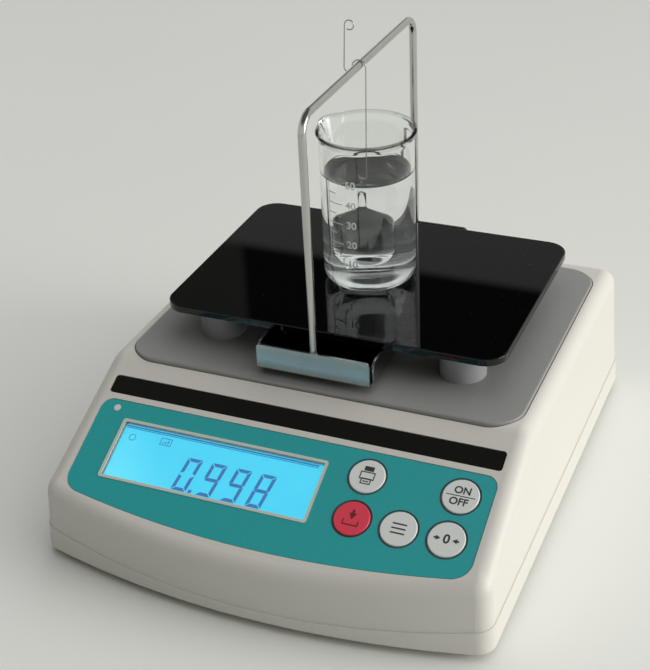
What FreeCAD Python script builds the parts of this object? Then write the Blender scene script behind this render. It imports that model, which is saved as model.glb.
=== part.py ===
import FreeCAD, Part
import math
import os

# Benchtop density meter: a weighing instrument with a sloping keypad, a fixed platform whose four
# posts carry a black plate and a beaker, and a weighed tray whose rod frame hangs a glass sinker
# in the beaker. Millimetres, X to the right, Y to the rear, Z up from the bench. The origin is on
# the bench, under the middle of the case.

Vector = FreeCAD.Vector

# Case
case_width = 190.0
case_depth = 216.4
case_top = 61.7
bench_gap = 3.0
wall_draft = 3.0
front_bow = 12.5
front_bow_radius = ((case_width / 2) ** 2 + front_bow ** 2) / (front_bow * 2)
corner_radius = 7.5
shell_wall = 2.5
ceiling_wall = 2.5
panel_wall = 2.8
edge_round = 6.5
crease_round = 12.0
base_round = 1.5
seam_height = 8.1
seam_rise = 6.5
seam_radius = ((case_width / 2) ** 2 + seam_rise ** 2) / (seam_rise * 2)
seam_ledge = 0.5
floor_wall = 2.5
lip_height = 3.0
lip_wall = 1.4
lip_clearance = 0.2
panel_slope = 25.0
panel_reach = 74.55
crease_y = panel_reach - case_depth / 2
overrun = 5.0
touch = 0.0001
thin_bar_flats = 8

# Case screws, from below into bosses of the upper shell
case_screw_side = 12.0
case_screw_front = 8.35
case_screw_rear = 48.2
case_screw_x = case_width / 2 - case_screw_side
case_screw_front_y = crease_y - case_screw_front
case_screw_rear_y = case_depth / 2 - case_screw_rear
case_screw_radius = 1.5
case_screw_length = 15.0
case_screw_head_radius = 3.0
case_screw_head_height = 2.0
case_screw_head_depth = 4.0
case_boss_radius = 4.0
case_tower_radius = 5.0
case_boss_seam = 12.0
screw_clearance = 0.2
thread_clearance = 0.1
hole_depth_spare = 2.0

# Levelling feet
foot_side = 19.0
foot_front = 28.2
foot_rear = 20.2
foot_x = case_width / 2 - foot_side
foot_front_y = foot_front - case_depth / 2
foot_rear_y = case_depth / 2 - foot_rear
foot_radius = 10.0
foot_sole_radius = 8.0
foot_sole_height = 1.2
foot_sole_sink = 0.6
foot_knob_height = 3.4
foot_notch_radius = 1.3
foot_notches = 8
foot_stud_radius = 2.9
foot_stud_length = 9.0
foot_recess_radius = 11.0
foot_recess_depth = 3.2
foot_running_clearance = 0.05
insert_wall = 1.2
insert_length = 7.0
foot_tower_wall = 1.6

# Platform and its dished seat in the case
platform_side = 10.0
platform_front = 1.7
platform_rear = 12.85
platform_width = case_width - platform_side * 2
platform_front_y = crease_y - platform_front
platform_rear_y = case_depth / 2 - platform_rear
platform_depth = platform_rear_y - platform_front_y
platform_centre_y = (platform_front_y + platform_rear_y) / 2
platform_thickness = 3.0
platform_corner = 13.0
platform_edge_round = 0.8
platform_proud = 0.8
platform_clearance = 0.4
spindle_hole_radius = 13.0

# Posts and the black plate
plate_side = 11.0
plate_front = 16.15
plate_rear = 10.45
plate_width = platform_width - plate_side * 2
plate_front_y = platform_front_y + plate_front
plate_rear_y = platform_rear_y - plate_rear
plate_thickness = 3.0
plate_corner = 9.5
plate_edge_round = 0.5
post_side = 20.4
post_front = 15.7
post_rear = 15.9
post_x = plate_width / 2 - post_side
post_front_y = plate_front_y + post_front
post_rear_y = plate_rear_y - post_rear
post_radius = 9.5
post_height = 13.3
post_edge = 0.5
pad_radius = 7.0
pad_thickness = 1.0
post_screw_radius = 2.0
post_screw_bite = 8.0
post_screw_head_radius = 3.5
post_screw_head_height = 2.4

# Weighed tray, folded from sheet
tray_sheet = 1.0
tray_half_width = 25.3
tray_end = 3.05
tray_half_length = platform_depth / 2 - tray_end
tray_gap = 2.9
tray_flange_height = 10.5
tray_lip_height = 11.5
tray_lip_half_width = 24.3
tray_bend = 0.6
tray_corner_gap = 0.7
tray_flange_corner = 4.0
tray_lip_corner = 1.5
hub_radius = 10.0
hub_height = 5.0
tray_screw_radius = 1.5
tray_screw_offset = 6.0
tray_screw_length = 4.5
tray_screw_head_radius = 2.9
tray_screw_head_height = 1.6

# Rod frame on the tray
rod_radius = 1.6
rod_bar_height = 175.3
rod_bend = 7.5

# Load cell, its spacer, arm and spindle
cell_length = 80.0
cell_width = 12.7
cell_height = 12.7
cell_hole_radius = 4.6
cell_hole_share = 0.10625
cell_hole_offset = cell_length * cell_hole_share
cell_slot = 2.0
cell_end_screw = 4.5
cell_pitch_share = 0.175
cell_screw_pitch = cell_length * cell_pitch_share
cell_screw_radius = 2.0
cell_screw_bite = 6.0
cell_screw_head_radius = 3.5
cell_screw_head_height = 2.6
cell_pad_height = 3.0
cell_pad_margin = 2.0
cell_spacer_share = 0.3
cell_spacer_length = cell_length * cell_spacer_share
cell_spacer_height = 5.0
gauge_share = 0.1125
gauge_length = cell_length * gauge_share
gauge_width = 6.0
gauge_thickness = 0.4
arm_thickness = 4.0
arm_step = 3.0
arm_width = 16.0
arm_overhang = 8.0
spindle_radius = 5.0
spindle_screw_radius = 2.0
spindle_screw_bite = 7.0
stop_screw_radius = 2.0
stop_gap = 0.4
stop_nut_radius = 4.0
stop_nut_height = 3.0
stop_tower_height = 4.0
stop_tower_radius = 5.0
stop_inset = 5.0

# Keypad face, measured across and down the slope from the crease
overlay_side = 10.6
overlay_half_width = case_width / 2 - overlay_side
overlay_top = 22.4
overlay_side_end = 64.7
overlay_bottom = 72.8
overlay_upper_corner = 5.0
overlay_lower_corner = 8.0
overlay_thickness = 0.55
overlay_recess = 0.7
overlay_clearance = 0.25
strip_side = 0.4
strip_half_width = overlay_half_width - strip_side
strip_top = 11.1
strip_height = 8.2
strip_thickness = 0.5
strip_recess = 0.7
strip_corner = 1.2

# Keys, in columns from the right side of the overlay
key_side = 12.1
key_column_pitch = 18.6
key_column_right = overlay_half_width - key_side
key_column_middle = key_column_right - key_column_pitch
key_column_left = key_column_middle - key_column_pitch
key_row_upper = 33.1
key_row_lower = 51.4

# Display window and display
window_side = 12.3
window_key_gap = 16.6
window_left = window_side - overlay_half_width
window_right = key_column_left - window_key_gap
window_top = 30.0
window_bottom = 57.7
window_corner = 1.2
border_width = 1.3
border_proud = 0.2
window_sheet = 1.0
window_clearance = 0.1
glass_margin = 2.6
glass_thickness = 2.2
glass_gap = 0.2
backlight_thickness = 3.5
backlight_inset = 1.0
board_thickness = 1.6

# Key buttons, switches and indicator
key_radius = 7.1
key_gap = 0.4
key_proud = 0.35
key_edge = 0.3
key_flange_radius = 8.7
key_flange_gap = 0.05
key_travel = 0.5
key_travel_spare = 0.05
switch_side = 6.0
switch_height = 3.8
switch_button_radius = 1.7
switch_button_height = 0.5
lens_radius = 1.5
lens_side = 7.2
lens_across = lens_side - overlay_half_width
lens_down = 26.0
lens_gap = 0.1
led_radius = 1.5
led_height = 3.0

# Board behind the keypad
front_board_side = 1.4
front_board_left = front_board_side - overlay_half_width
front_board_right = overlay_half_width - front_board_side
front_board_top = 22.5
front_board_bottom = 67.0
front_boss_radius = 3.0
front_screw_radius = 1.2
front_screw_length = 6.0
front_screw_head_radius = 2.4
front_screw_head_height = 1.6
front_screw_inset = 3.5
front_screw_left = front_board_left + front_screw_inset
front_screw_left_upper = 35.0
front_screw_lower = 62.5
front_screw_middle = key_column_middle
front_screw_middle_upper = 27.5
front_screw_right = front_board_right - front_screw_inset
buzzer_radius = 6.0
buzzer_height = 5.5
buzzer_side = 5.0
buzzer_across = key_column_left - buzzer_side
buzzer_down = 42.0

# Main board and sockets at the rear
main_board_side = 29.0
main_board_front = 24.0
main_board_rear = 11.2
main_board_half_width = case_width / 2 - main_board_side
main_board_front_y = platform_centre_y + main_board_front
main_board_rear_y = case_depth / 2 - main_board_rear
main_board_height = 10.5
main_standoff_radius = 3.5
main_screw_inset = 5.0
main_screw_length = 6.0
bay_half_width = 42.0
bay_low = 14.2
bay_high = 31.0
bay_depth = 7.0
dc_x = -26.0
dc_width = 9.0
dc_height = 11.0
dc_body_depth = 13.0
dc_nose_radius = 4.0
dc_nose_length = 3.6
dc_bore_radius = 2.75
dc_bore_depth = 9.5
dc_pin_radius = 1.05
dc_axis_height = 6.5
serial_x = 22.0
serial_flange_width = 31.0
serial_flange_height = 12.5
serial_flange_thickness = 0.8
serial_body_depth = 11.0
serial_shell_width = 16.3
serial_shell_height = 7.9
serial_shell_taper = 1.4
serial_shell_depth = 5.6
serial_shell_corner = 1.4
serial_hole_radius = 0.55
serial_hole_depth = 4.0
serial_hole_pitch = 2.77
serial_row_pitch = 2.84
jack_pitch = 24.99
jack_flats = 4.76
jack_length = 4.8
jack_hole_radius = 1.42
socket_gap = 0.4

# Parts on the main board
shield_length = 30.0
shield_front = 10.5
shield_width = main_board_rear_y - main_board_front_y - shield_front * 2
shield_height = 6.0
shield_side = 26.0
shield_x = shield_side - main_board_half_width
shield_corner = 1.5
chip_side = 11.0
chip_gap = 4.0
chip_thickness = 1.6
capacitor_radius = 4.0
capacitor_height = 11.0
plug_body_height = 6.0
plug_body_width = 5.0
ribbon_width = 13.0
ribbon_thickness = 0.9
ribbon_side = 17.5
ribbon_x = main_board_half_width - ribbon_side
ribbon_down = 36.0
ribbon_bend = 6.0
ribbon_rise = 24.0
lead_radius = 1.5
lead_bend = 4.0
lead_rise = 16.0
lead_inset = 12.0

# Beaker
beaker_x = 0.2
beaker_behind = 2.2
beaker_y = platform_centre_y + beaker_behind
beaker_radius = 19.7
beaker_wall = 1.5
beaker_floor = 2.0
beaker_height = 67.2
beaker_base_round = 5.5
beaker_rim_radius = 21.4
beaker_flare_height = 4.0
flare_middle_share = 0.6
spout_direction = 163.0
spout_reach = 23.4
spout_depth = 11.0
spout_radius = 9.0
spout_tip_radius = 0.4

# Hanger and sinker
hanger_before = 2.0
hanger_y = platform_centre_y - hanger_before
wire_radius = 0.25
saddle_radius = 2.85
saddle_centre_x = -0.3
saddle_gap = 0.05
return_radius = 1.75
return_depth = 0.7
handle_lean = 2.8
run_lean = 1.4
ring_radius = 1.9
ring_height = 191.2
ring_turn = 300.0
hook_radius = 1.6
hook_height = 124.6
hook_tip = 1.5
eye_wire = 0.6
eye_radius = 1.7
eye_gap = 0.06
sinker_radius = 10.0
sinker_length = 24.4
sinker_cone = 5.9
sinker_shoulder_round = 4.0
sinker_base_round = 2.5
sinker_neck_radius = 1.35
sinker_neck_height = 6.7
sinker_neck_round = 1.2

# Heights that follow
seat_floor = case_top + platform_proud - platform_thickness
ceiling = seat_floor - ceiling_wall
platform_top = seat_floor + platform_thickness
plate_low = platform_top + post_height + pad_thickness
plate_top = plate_low + plate_thickness
tray_low = platform_top + tray_gap
tray_floor = tray_low + tray_sheet
hub_low = tray_low - hub_height
floor_top = bench_gap + floor_wall
board_face = floor_top + main_board_height - floor_wall
board_top = board_face + board_thickness
case_screw_head_seat = bench_gap + case_screw_head_depth + case_screw_head_height


def save(name, shape):
    """Write one piece; the file's name is the piece's name."""
    shape.exportStep("parts/" + name + ".step")


def cylinder(radius, z_low, z_high, x=0, y=0):
    return Part.makeCylinder(radius, z_high - z_low, Vector(x, y, z_low))


def block(x_low, x_high, y_low, y_high, z_low, z_high):
    return Part.makeBox(x_high - x_low, y_high - y_low, z_high - z_low, Vector(x_low, y_low, z_low))


def is_upright(edge):
    """True for a straight edge that runs along Z."""
    first = edge.Vertexes[0].Point
    last = edge.Vertexes[-1].Point
    level = math.hypot(first.x - last.x, first.y - last.y)
    return level < touch and abs(first.z - last.z) > touch


def rounded_block(x_low, x_high, y_low, y_high, z_low, z_high, radius):
    """A plate with round upright corners."""
    solid = block(x_low, x_high, y_low, y_high, z_low, z_high)
    return solid.makeFillet(radius, [edge for edge in solid.Edges if is_upright(edge)])


def at_height(shape, height):
    """The edges of a shape that lie in one level plane."""
    return [edge for edge in shape.Edges
            if abs(edge.BoundBox.ZMin - height) < touch and abs(edge.BoundBox.ZMax - height) < touch]


def polar(radius, degrees):
    return Vector(radius * math.cos(math.radians(degrees)), radius * math.sin(math.radians(degrees)), 0)


def bent_path(points, bends):
    """Straight runs through the points, joined by tangent arcs of the given radii."""
    edges = []
    start = points[0]
    for here, corner, after, bend in zip(points, points[1:], points[2:], bends):
        into = (corner - here).normalize()
        out = (after - corner).normalize()
        turn = into.getAngle(out)
        setback = bend * math.tan(turn / 2)
        arc_start = corner - into * setback
        arc_end = corner + out * setback
        inward = (out - into).normalize()
        middle = corner + inward * (bend / math.cos(turn / 2) - bend)
        edges.append(Part.LineSegment(start, arc_start).toShape())
        edges.append(Part.Arc(arc_start, middle, arc_end).toShape())
        start = arc_end
    edges.append(Part.LineSegment(start, points[-1]).toShape())
    return Part.Wire(edges)


def path_start(path):
    """First point of a path and its direction there."""
    first = path.OrderedEdges[0]
    return first.valueAt(first.FirstParameter), first.tangentAt(first.FirstParameter)


def round_bar(path, radius):
    """A round rod along a path."""
    circle = Part.Wire([Part.makeCircle(radius, *path_start(path))])
    return path.makePipeShell([circle], True, False)


def thin_bar(path, radius):
    """A thin wire or lead along a path, drawn with eight flats."""
    start, along = path_start(path)
    side = along.cross(Vector(0, 1, 0) if abs(along.y) < touch else Vector(1, 0, 0)).normalize()
    across = along.cross(side)
    turns = [math.radians(360 / thin_bar_flats * step) for step in range(thin_bar_flats + 1)]
    flats = [start + side * (radius * math.cos(turn)) + across * (radius * math.sin(turn)) for turn in turns]
    return path.makePipeShell([Part.makePolygon(flats)], True, False)


def hexagon(radius, z_low, z_high):
    """Six-sided prism, measured to its corners."""
    ring = Part.makePolygon([polar(radius, step * 60) for step in range(7)])
    prism = Part.Face(ring).extrude(Vector(0, 0, z_high - z_low))
    prism.translate(Vector(0, 0, z_low))
    return prism


def screw(head_radius, head_height, shank_radius, shank_length):
    """Round-headed screw pointing up, with the underside of its head at height zero."""
    head = cylinder(head_radius, -head_height, 0)
    return head.fuse(cylinder(shank_radius, 0, shank_length)).removeSplitter()


def hexagon_screw(head_radius, head_height, shank_radius, shank_length):
    """Hexagon screw for hidden places; its thread is drawn as a prism inside its outside diameter."""
    return hexagon(head_radius, -head_height, 0).fuse(hexagon(shank_radius, 0, shank_length))


def corners(half_x, low_y, high_y):
    """Four places, front ones first."""
    return [(x, y) for y in (low_y, high_y) for x in (-half_x, half_x)]


def placed(shape, x, y, z):
    copy = shape.copy()
    copy.translate(Vector(x, y, z))
    return copy


def joined(shapes):
    """One solid from shapes that meet."""
    return shapes[0].multiFuse(shapes[1:]).removeSplitter()


# The case

case_screw_places = corners(case_screw_x, case_screw_front_y, case_screw_rear_y)
foot_places = corners(foot_x, foot_front_y, foot_rear_y)
post_places = corners(post_x, post_front_y, post_rear_y)
main_screw_places = corners(main_board_half_width - main_screw_inset, main_board_front_y + main_screw_inset,
                            main_board_rear_y - main_screw_inset)
cell_fixed_x = [-cell_length / 2 + cell_end_screw, -cell_length / 2 + cell_end_screw + cell_screw_pitch]
cell_free_x = [-x for x in cell_fixed_x]
cell_y = platform_centre_y
cell_pad_top = floor_top + cell_pad_height
cell_low = cell_pad_top + cell_spacer_height
cell_top = cell_low + cell_height
stop_x = cell_length / 2 - stop_inset
insert_radius = foot_stud_radius + foot_running_clearance + insert_wall
recess_ceiling = bench_gap + foot_recess_depth
insert_low = recess_ceiling
insert_high = insert_low + insert_length
rim_inset = seam_ledge + shell_wall + lip_clearance + lip_wall
lip_inset = seam_ledge + shell_wall + lip_clearance
lip_end = seam_height + seam_rise + lip_height

slope_turn = FreeCAD.Rotation(Vector(1, 0, 0), panel_slope)
slope_place = FreeCAD.Placement(Vector(0, crease_y, case_top), slope_turn)


def on_slope(shape):
    """Move a shape drawn flat (X across, -Y down the slope, Z out of the face) on to the keypad face."""
    copy = shape.copy()
    copy.Placement = slope_place.multiply(copy.Placement)
    return copy


def slope_point(across, down, rise):
    return slope_place.multVec(Vector(across, -down, rise))


def shrink_at(inset, height):
    """How far the drafted walls of the case have moved in at one height."""
    return inset + (height - bench_gap) * math.tan(math.radians(wall_draft))


def case_block(inset, z_low, z_high):
    """Drafted block inside the case: flat sides and rear, bowed front, round upright corners."""
    low = shrink_at(inset, z_low)
    high = shrink_at(inset, z_high)
    half_low = case_width / 2 - low
    half_high = case_width / 2 - high
    front = -case_depth
    wedge = Part.makeWedge(front, z_low, -half_low, -half_high, front,
                           case_depth / 2 - low, z_high, half_low, half_high, case_depth / 2 - high)
    wedge.rotate(Vector(0, 0, 0), Vector(1, 0, 0), 90)
    wedge.rotate(Vector(0, 0, 0), Vector(0, 0, 1), 90)
    bow_centre = Vector(0, front_bow_radius - case_depth / 2, z_low)
    bow = Part.makeCone(front_bow_radius - low, front_bow_radius - high, z_high - z_low, bow_centre)
    solid = wedge.common(bow)
    upright = [edge for edge in solid.Edges if edge.BoundBox.ZLength > (z_high - z_low) / 2]
    return solid.makeFillet(corner_radius - inset, upright)


def outside_slope(depth):
    """All the space out in front of the keypad face, moved in by a depth."""
    return on_slope(block(-case_width, case_width, -case_depth, case_depth, -depth, case_width))


def normal_at(face, point):
    across, along = face.Surface.parameter(point)
    return face.normalAt(across, along)


def roof_edges(solid):
    """Edges where the walls of the case meet its top and its keypad face."""
    found = []
    for edge in solid.Edges:
        middle = edge.valueAt((edge.FirstParameter + edge.LastParameter) / 2)
        lifts = [abs(normal_at(face, middle).z) for face in solid.ancestorsOfType(edge, Part.Face)]
        if middle.z > seam_height + touch and min(lifts) < 0.5 < max(lifts):
            found.append(edge)
    return found


def crease_edges(solid):
    """The edge where the level top turns down into the keypad face."""
    return [edge for edge in solid.Edges
            if abs(edge.BoundBox.YMin - crease_y) < touch and abs(edge.BoundBox.YMax - crease_y) < touch
            and edge.BoundBox.XLength > case_width / 2]


def over_seam(rise):
    """All the space over the parting line, which bends up towards both sides of the case."""
    middle = Vector(0, -case_depth, seam_height + rise + seam_radius)
    return Part.makeCylinder(seam_radius, case_depth * 2, middle, Vector(0, 1, 0))


def case_outside():
    solid = case_block(seam_ledge, seam_height, case_top).cut(outside_slope(0))
    solid = solid.makeFillet(crease_round, crease_edges(solid))
    return solid.makeFillet(edge_round, roof_edges(solid))


def case_inside():
    """Hollow of the upper shell, open at the seam."""
    solid = case_block(seam_ledge + shell_wall, seam_height - overrun, ceiling)
    solid = solid.cut(outside_slope(panel_wall))
    return solid.makeFillet(edge_round - shell_wall, roof_edges(solid))


# Keypad face: cut-outs and the pieces that fill them

window_across = (window_left + window_right) / 2
window_down = (window_top + window_bottom) / 2
window_half_x = (window_right - window_left) / 2
window_half_y = (window_bottom - window_top) / 2
opening_half_x = window_half_x - border_width
opening_half_y = window_half_y - border_width
sheet_low = -overlay_recess - window_sheet
glass_top = -panel_wall - glass_gap
glass_low = glass_top - glass_thickness
board_front = glass_low - backlight_thickness
board_back = board_front - board_thickness
switch_top = board_front + switch_height + switch_button_height
flange_top = -panel_wall - key_flange_gap
flange_low = switch_top + key_travel + key_travel_spare
key_places = {
    "print_key": (key_column_left, key_row_upper),
    "memory_key": (key_column_left, key_row_lower),
    "function_key": (key_column_middle, key_row_lower),
    "power_key": (key_column_right, key_row_upper),
    "zero_key": (key_column_right, key_row_lower),
}
front_screw_places = [
    (front_screw_left, front_screw_left_upper),
    (front_screw_left, front_screw_lower),
    (front_screw_middle, front_screw_middle_upper),
    (front_screw_right, front_screw_lower),
]


def framed(half_x, half_y, across, down, z_low, z_high, radius):
    """Rounded plate drawn flat, centred on a place of the keypad face."""
    return rounded_block(across - half_x, across + half_x, -down - half_y, -down + half_y,
                         z_low, z_high, radius)


def overlay_blank(grow, z_low, z_high):
    """Keypad overlay shape: straight top and sides, bowed lower edge, grown by a margin."""
    half = overlay_half_width + grow
    top = -overlay_top + grow
    side_end = -overlay_side_end - grow
    bottom = -overlay_bottom - grow
    edges = [
        Part.LineSegment(Vector(half, side_end, 0), Vector(half, top, 0)).toShape(),
        Part.LineSegment(Vector(half, top, 0), Vector(-half, top, 0)).toShape(),
        Part.LineSegment(Vector(-half, top, 0), Vector(-half, side_end, 0)).toShape(),
        Part.Arc(Vector(-half, side_end, 0), Vector(0, bottom, 0), Vector(half, side_end, 0)).toShape(),
    ]
    face = Part.Face(Part.Wire(edges))
    face.translate(Vector(0, 0, z_low))
    solid = face.extrude(Vector(0, 0, z_high - z_low))
    upper = [edge for edge in solid.Edges if is_upright(edge) and abs(edge.BoundBox.YMin - top) < touch]
    solid = solid.makeFillet(overlay_upper_corner + grow, upper)
    lower = [edge for edge in solid.Edges
             if is_upright(edge) and abs(edge.BoundBox.YMin - side_end) < touch]
    return solid.makeFillet(overlay_lower_corner + grow, lower)


def strip_blank(grow, z_low, z_high):
    middle = strip_top + strip_height / 2
    return framed(strip_half_width + grow, strip_height / 2 + grow, 0, middle,
                  z_low, z_high, strip_corner + grow)


def face_cuts():
    """What is cut out of the keypad face of the upper shell."""
    cuts = [
        overlay_blank(overlay_clearance, -overlay_recess, overrun),
        strip_blank(overlay_clearance, -strip_recess, overrun),
        framed(window_half_x + window_clearance, window_half_y + window_clearance,
               window_across, window_down, sheet_low, overrun, window_corner + window_clearance),
        framed(opening_half_x, opening_half_y, window_across, window_down, -panel_wall - overrun, overrun,
               window_corner),
        cylinder(lens_radius + lens_gap, -panel_wall - overrun, overrun, lens_across, -lens_down),
    ]
    for across, down in key_places.values():
        cuts.append(cylinder(key_radius + key_gap, -panel_wall - overrun, overrun, across, -down))
    return [on_slope(cut) for cut in cuts]


def upper_housing():
    outside = case_outside()
    bay_back = case_depth / 2 - bay_depth - (bay_low - bench_gap) * math.tan(math.radians(wall_draft))
    bay_shell = block(-bay_half_width - shell_wall, bay_half_width + shell_wall, bay_back - shell_wall,
                      case_depth, bay_low - shell_wall, bay_high + shell_wall)
    shell = outside.common(over_seam(0)).cut(case_inside().cut(bay_shell))
    bosses = []
    for x, y in case_screw_places:
        bosses.append(cylinder(case_boss_radius, case_boss_seam, case_top, x, y))
    for across, down in front_screw_places:
        bosses.append(on_slope(cylinder(front_boss_radius, board_front, 0, across, -down)))
    shell = shell.multiFuse([boss.common(outside) for boss in bosses])
    cuts = face_cuts()
    cuts.append(block(-bay_half_width, bay_half_width, bay_back, case_depth, bay_low, bay_high))
    cuts.append(rounded_block(
        -platform_width / 2 - platform_clearance, platform_width / 2 + platform_clearance,
        platform_centre_y - platform_depth / 2 - platform_clearance,
        platform_centre_y + platform_depth / 2 + platform_clearance,
        seat_floor, case_top + overrun, platform_corner + platform_clearance))
    cuts.append(cylinder(spindle_hole_radius, ceiling - overrun, case_top, 0, platform_centre_y))
    for x, y in post_places:
        cuts.append(cylinder(post_screw_radius + screw_clearance, ceiling - overrun, case_top, x, y))
    for x, y in case_screw_places:
        cuts.append(cylinder(case_screw_radius + thread_clearance, case_boss_seam - overrun,
                             case_screw_head_seat + case_screw_length + hole_depth_spare, x, y))
    for across, down in front_screw_places:
        cuts.append(on_slope(cylinder(front_screw_radius + thread_clearance, board_front - overrun,
                                      board_back + front_screw_length + thread_clearance, across, -down)))
    cuts.append(block(dc_x - dc_width / 2 - socket_gap, dc_x + dc_width / 2 + socket_gap,
                      bay_back - overrun, bay_back + overrun,
                      board_top - socket_gap, board_top + dc_height + socket_gap))
    cuts.append(block(serial_x - serial_flange_width / 2 - socket_gap,
                      serial_x + serial_flange_width / 2 + socket_gap,
                      bay_back - overrun, bay_back + overrun,
                      board_top - socket_gap, board_top + serial_flange_height + socket_gap))
    return shell.cut(Part.makeCompound(cuts)).removeSplitter()


def lower_housing():
    blank = case_block(0, bench_gap, seam_height + seam_rise)
    blank = blank.makeFillet(base_round, at_height(blank, bench_gap)).cut(over_seam(0))
    bay_side = bay_half_width + shell_wall + lip_clearance
    bay_room = block(-bay_side, bay_side, case_depth / 2 - bay_depth, case_depth,
                     bay_low - shell_wall - lip_clearance, lip_end)
    lip = case_block(lip_inset, floor_top, lip_end).cut(over_seam(lip_height)).cut(bay_room)
    hollow = case_block(rim_inset, floor_top, lip_end + overrun)
    solids = [blank.fuse(lip).cut(hollow)]
    cuts = []
    for x, y in case_screw_places:
        solids.append(cylinder(case_tower_radius, floor_top, case_boss_seam, x, y))
        cuts.append(cylinder(case_screw_head_radius + screw_clearance, bench_gap - overrun,
                             case_screw_head_seat, x, y))
        cuts.append(cylinder(case_screw_radius + screw_clearance, bench_gap,
                             case_boss_seam + overrun, x, y))
    for x, y in foot_places:
        solids.append(cylinder(foot_recess_radius + floor_wall, floor_top,
                               recess_ceiling + floor_wall, x, y))
        solids.append(cylinder(insert_radius + foot_tower_wall, floor_top, insert_high, x, y))
        cuts.append(cylinder(foot_recess_radius, bench_gap - overrun, recess_ceiling, x, y))
        cuts.append(cylinder(insert_radius, bench_gap, insert_high + overrun, x, y))
    for x, y in main_screw_places:
        solids.append(cylinder(main_standoff_radius, floor_top, board_face, x, y))
        cuts.append(cylinder(front_screw_radius + thread_clearance, floor_top, board_face + overrun, x, y))
    pad_low_x = -cell_length / 2 - cell_pad_margin
    pad_high_x = -cell_length / 2 + cell_spacer_length + cell_pad_margin
    pad_half_y = cell_width / 2 + cell_pad_margin
    solids.append(block(pad_low_x, pad_high_x, cell_y - pad_half_y, cell_y + pad_half_y,
                        floor_top, cell_pad_top))
    for x in cell_fixed_x:
        cuts.append(cylinder(cell_screw_head_radius + screw_clearance, bench_gap - overrun,
                             bench_gap + cell_screw_head_height + screw_clearance, x, cell_y))
        cuts.append(cylinder(cell_screw_radius + screw_clearance, bench_gap,
                             cell_pad_top + overrun, x, cell_y))
    solids.append(cylinder(stop_tower_radius, floor_top, floor_top + stop_tower_height, stop_x, cell_y))
    cuts.append(cylinder(stop_screw_radius + thread_clearance, bench_gap + floor_wall / 2,
                         floor_top + stop_tower_height + overrun, stop_x, cell_y))
    return joined(solids).cut(Part.makeCompound(cuts)).removeSplitter()


save("lower_housing", lower_housing())
save("upper_housing", upper_housing())

case_screw = screw(case_screw_head_radius, case_screw_head_height, case_screw_radius, case_screw_length)
save("housing_screws", Part.makeCompound(
    [placed(case_screw, x, y, case_screw_head_seat) for x, y in case_screw_places]))


# Levelling feet: a notched knob with a stud in a brass insert, and a rubber sole

def foot_knob():
    low = foot_sole_height - foot_sole_sink
    high = foot_sole_height + foot_knob_height
    knob = cylinder(foot_radius, low, high)
    notches = []
    for step in range(foot_notches):
        place = polar(foot_radius + foot_notch_radius / 2, step * 360 / foot_notches)
        notches.append(cylinder(foot_notch_radius, low - overrun, high + overrun, place.x, place.y))
    stud = cylinder(foot_stud_radius, high - foot_sole_sink, high + foot_stud_length)
    socket = cylinder(foot_sole_radius, low - overrun, foot_sole_height)
    return knob.cut(Part.makeCompound(notches)).fuse(stud).cut(socket).removeSplitter()


def foot_insert():
    sleeve = cylinder(insert_radius, insert_low, insert_high)
    return sleeve.cut(cylinder(foot_stud_radius + foot_running_clearance, insert_low - overrun,
                               insert_high + overrun))


save("foot_inserts", Part.makeCompound([placed(foot_insert(), x, y, 0) for x, y in foot_places]))
foot_names = ["front_left", "front_right", "rear_left", "rear_right"]
for name, (x, y) in zip(foot_names, foot_places):
    save("foot_" + name, placed(foot_knob(), x, y, 0))
    save("foot_sole_" + name, placed(cylinder(foot_sole_radius, 0, foot_sole_height), x, y, 0))


# Platform, posts and black plate

def platform():
    plate = rounded_block(-platform_width / 2, platform_width / 2, platform_centre_y - platform_depth / 2,
                          platform_centre_y + platform_depth / 2, seat_floor, platform_top, platform_corner)
    plate = plate.makeFillet(platform_edge_round, at_height(plate, platform_top))
    holes = [cylinder(spindle_hole_radius, seat_floor - overrun, platform_top + overrun,
                      0, platform_centre_y)]
    for x, y in post_places:
        holes.append(cylinder(post_screw_radius + screw_clearance, seat_floor - overrun,
                              platform_top + overrun, x, y))
    return plate.cut(Part.makeCompound(holes))


def plate_post():
    post = cylinder(post_radius, platform_top, platform_top + post_height)
    post = post.makeChamfer(post_edge, at_height(post, platform_top + post_height))
    return post.cut(cylinder(post_screw_radius + thread_clearance, platform_top - overrun,
                             platform_top + post_screw_bite + hole_depth_spare))


save("platform", platform())
save("plate_posts", Part.makeCompound([placed(plate_post(), x, y, 0) for x, y in post_places]))
save("post_pads", Part.makeCompound(
    [cylinder(pad_radius, platform_top + post_height, plate_low, x, y) for x, y in post_places]))
post_screw = hexagon_screw(post_screw_head_radius, post_screw_head_height, post_screw_radius,
                           platform_top + post_screw_bite - ceiling)
save("post_screws", Part.makeCompound([placed(post_screw, x, y, ceiling) for x, y in post_places]))

black_plate = rounded_block(-plate_width / 2, plate_width / 2, plate_front_y, plate_rear_y,
                            plate_low, plate_top, plate_corner)
save("beaker_plate", black_plate.makeFillet(plate_edge_round, at_height(black_plate, plate_top)))


# Weighed tray: one folded sheet with side flanges and end lips

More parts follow.
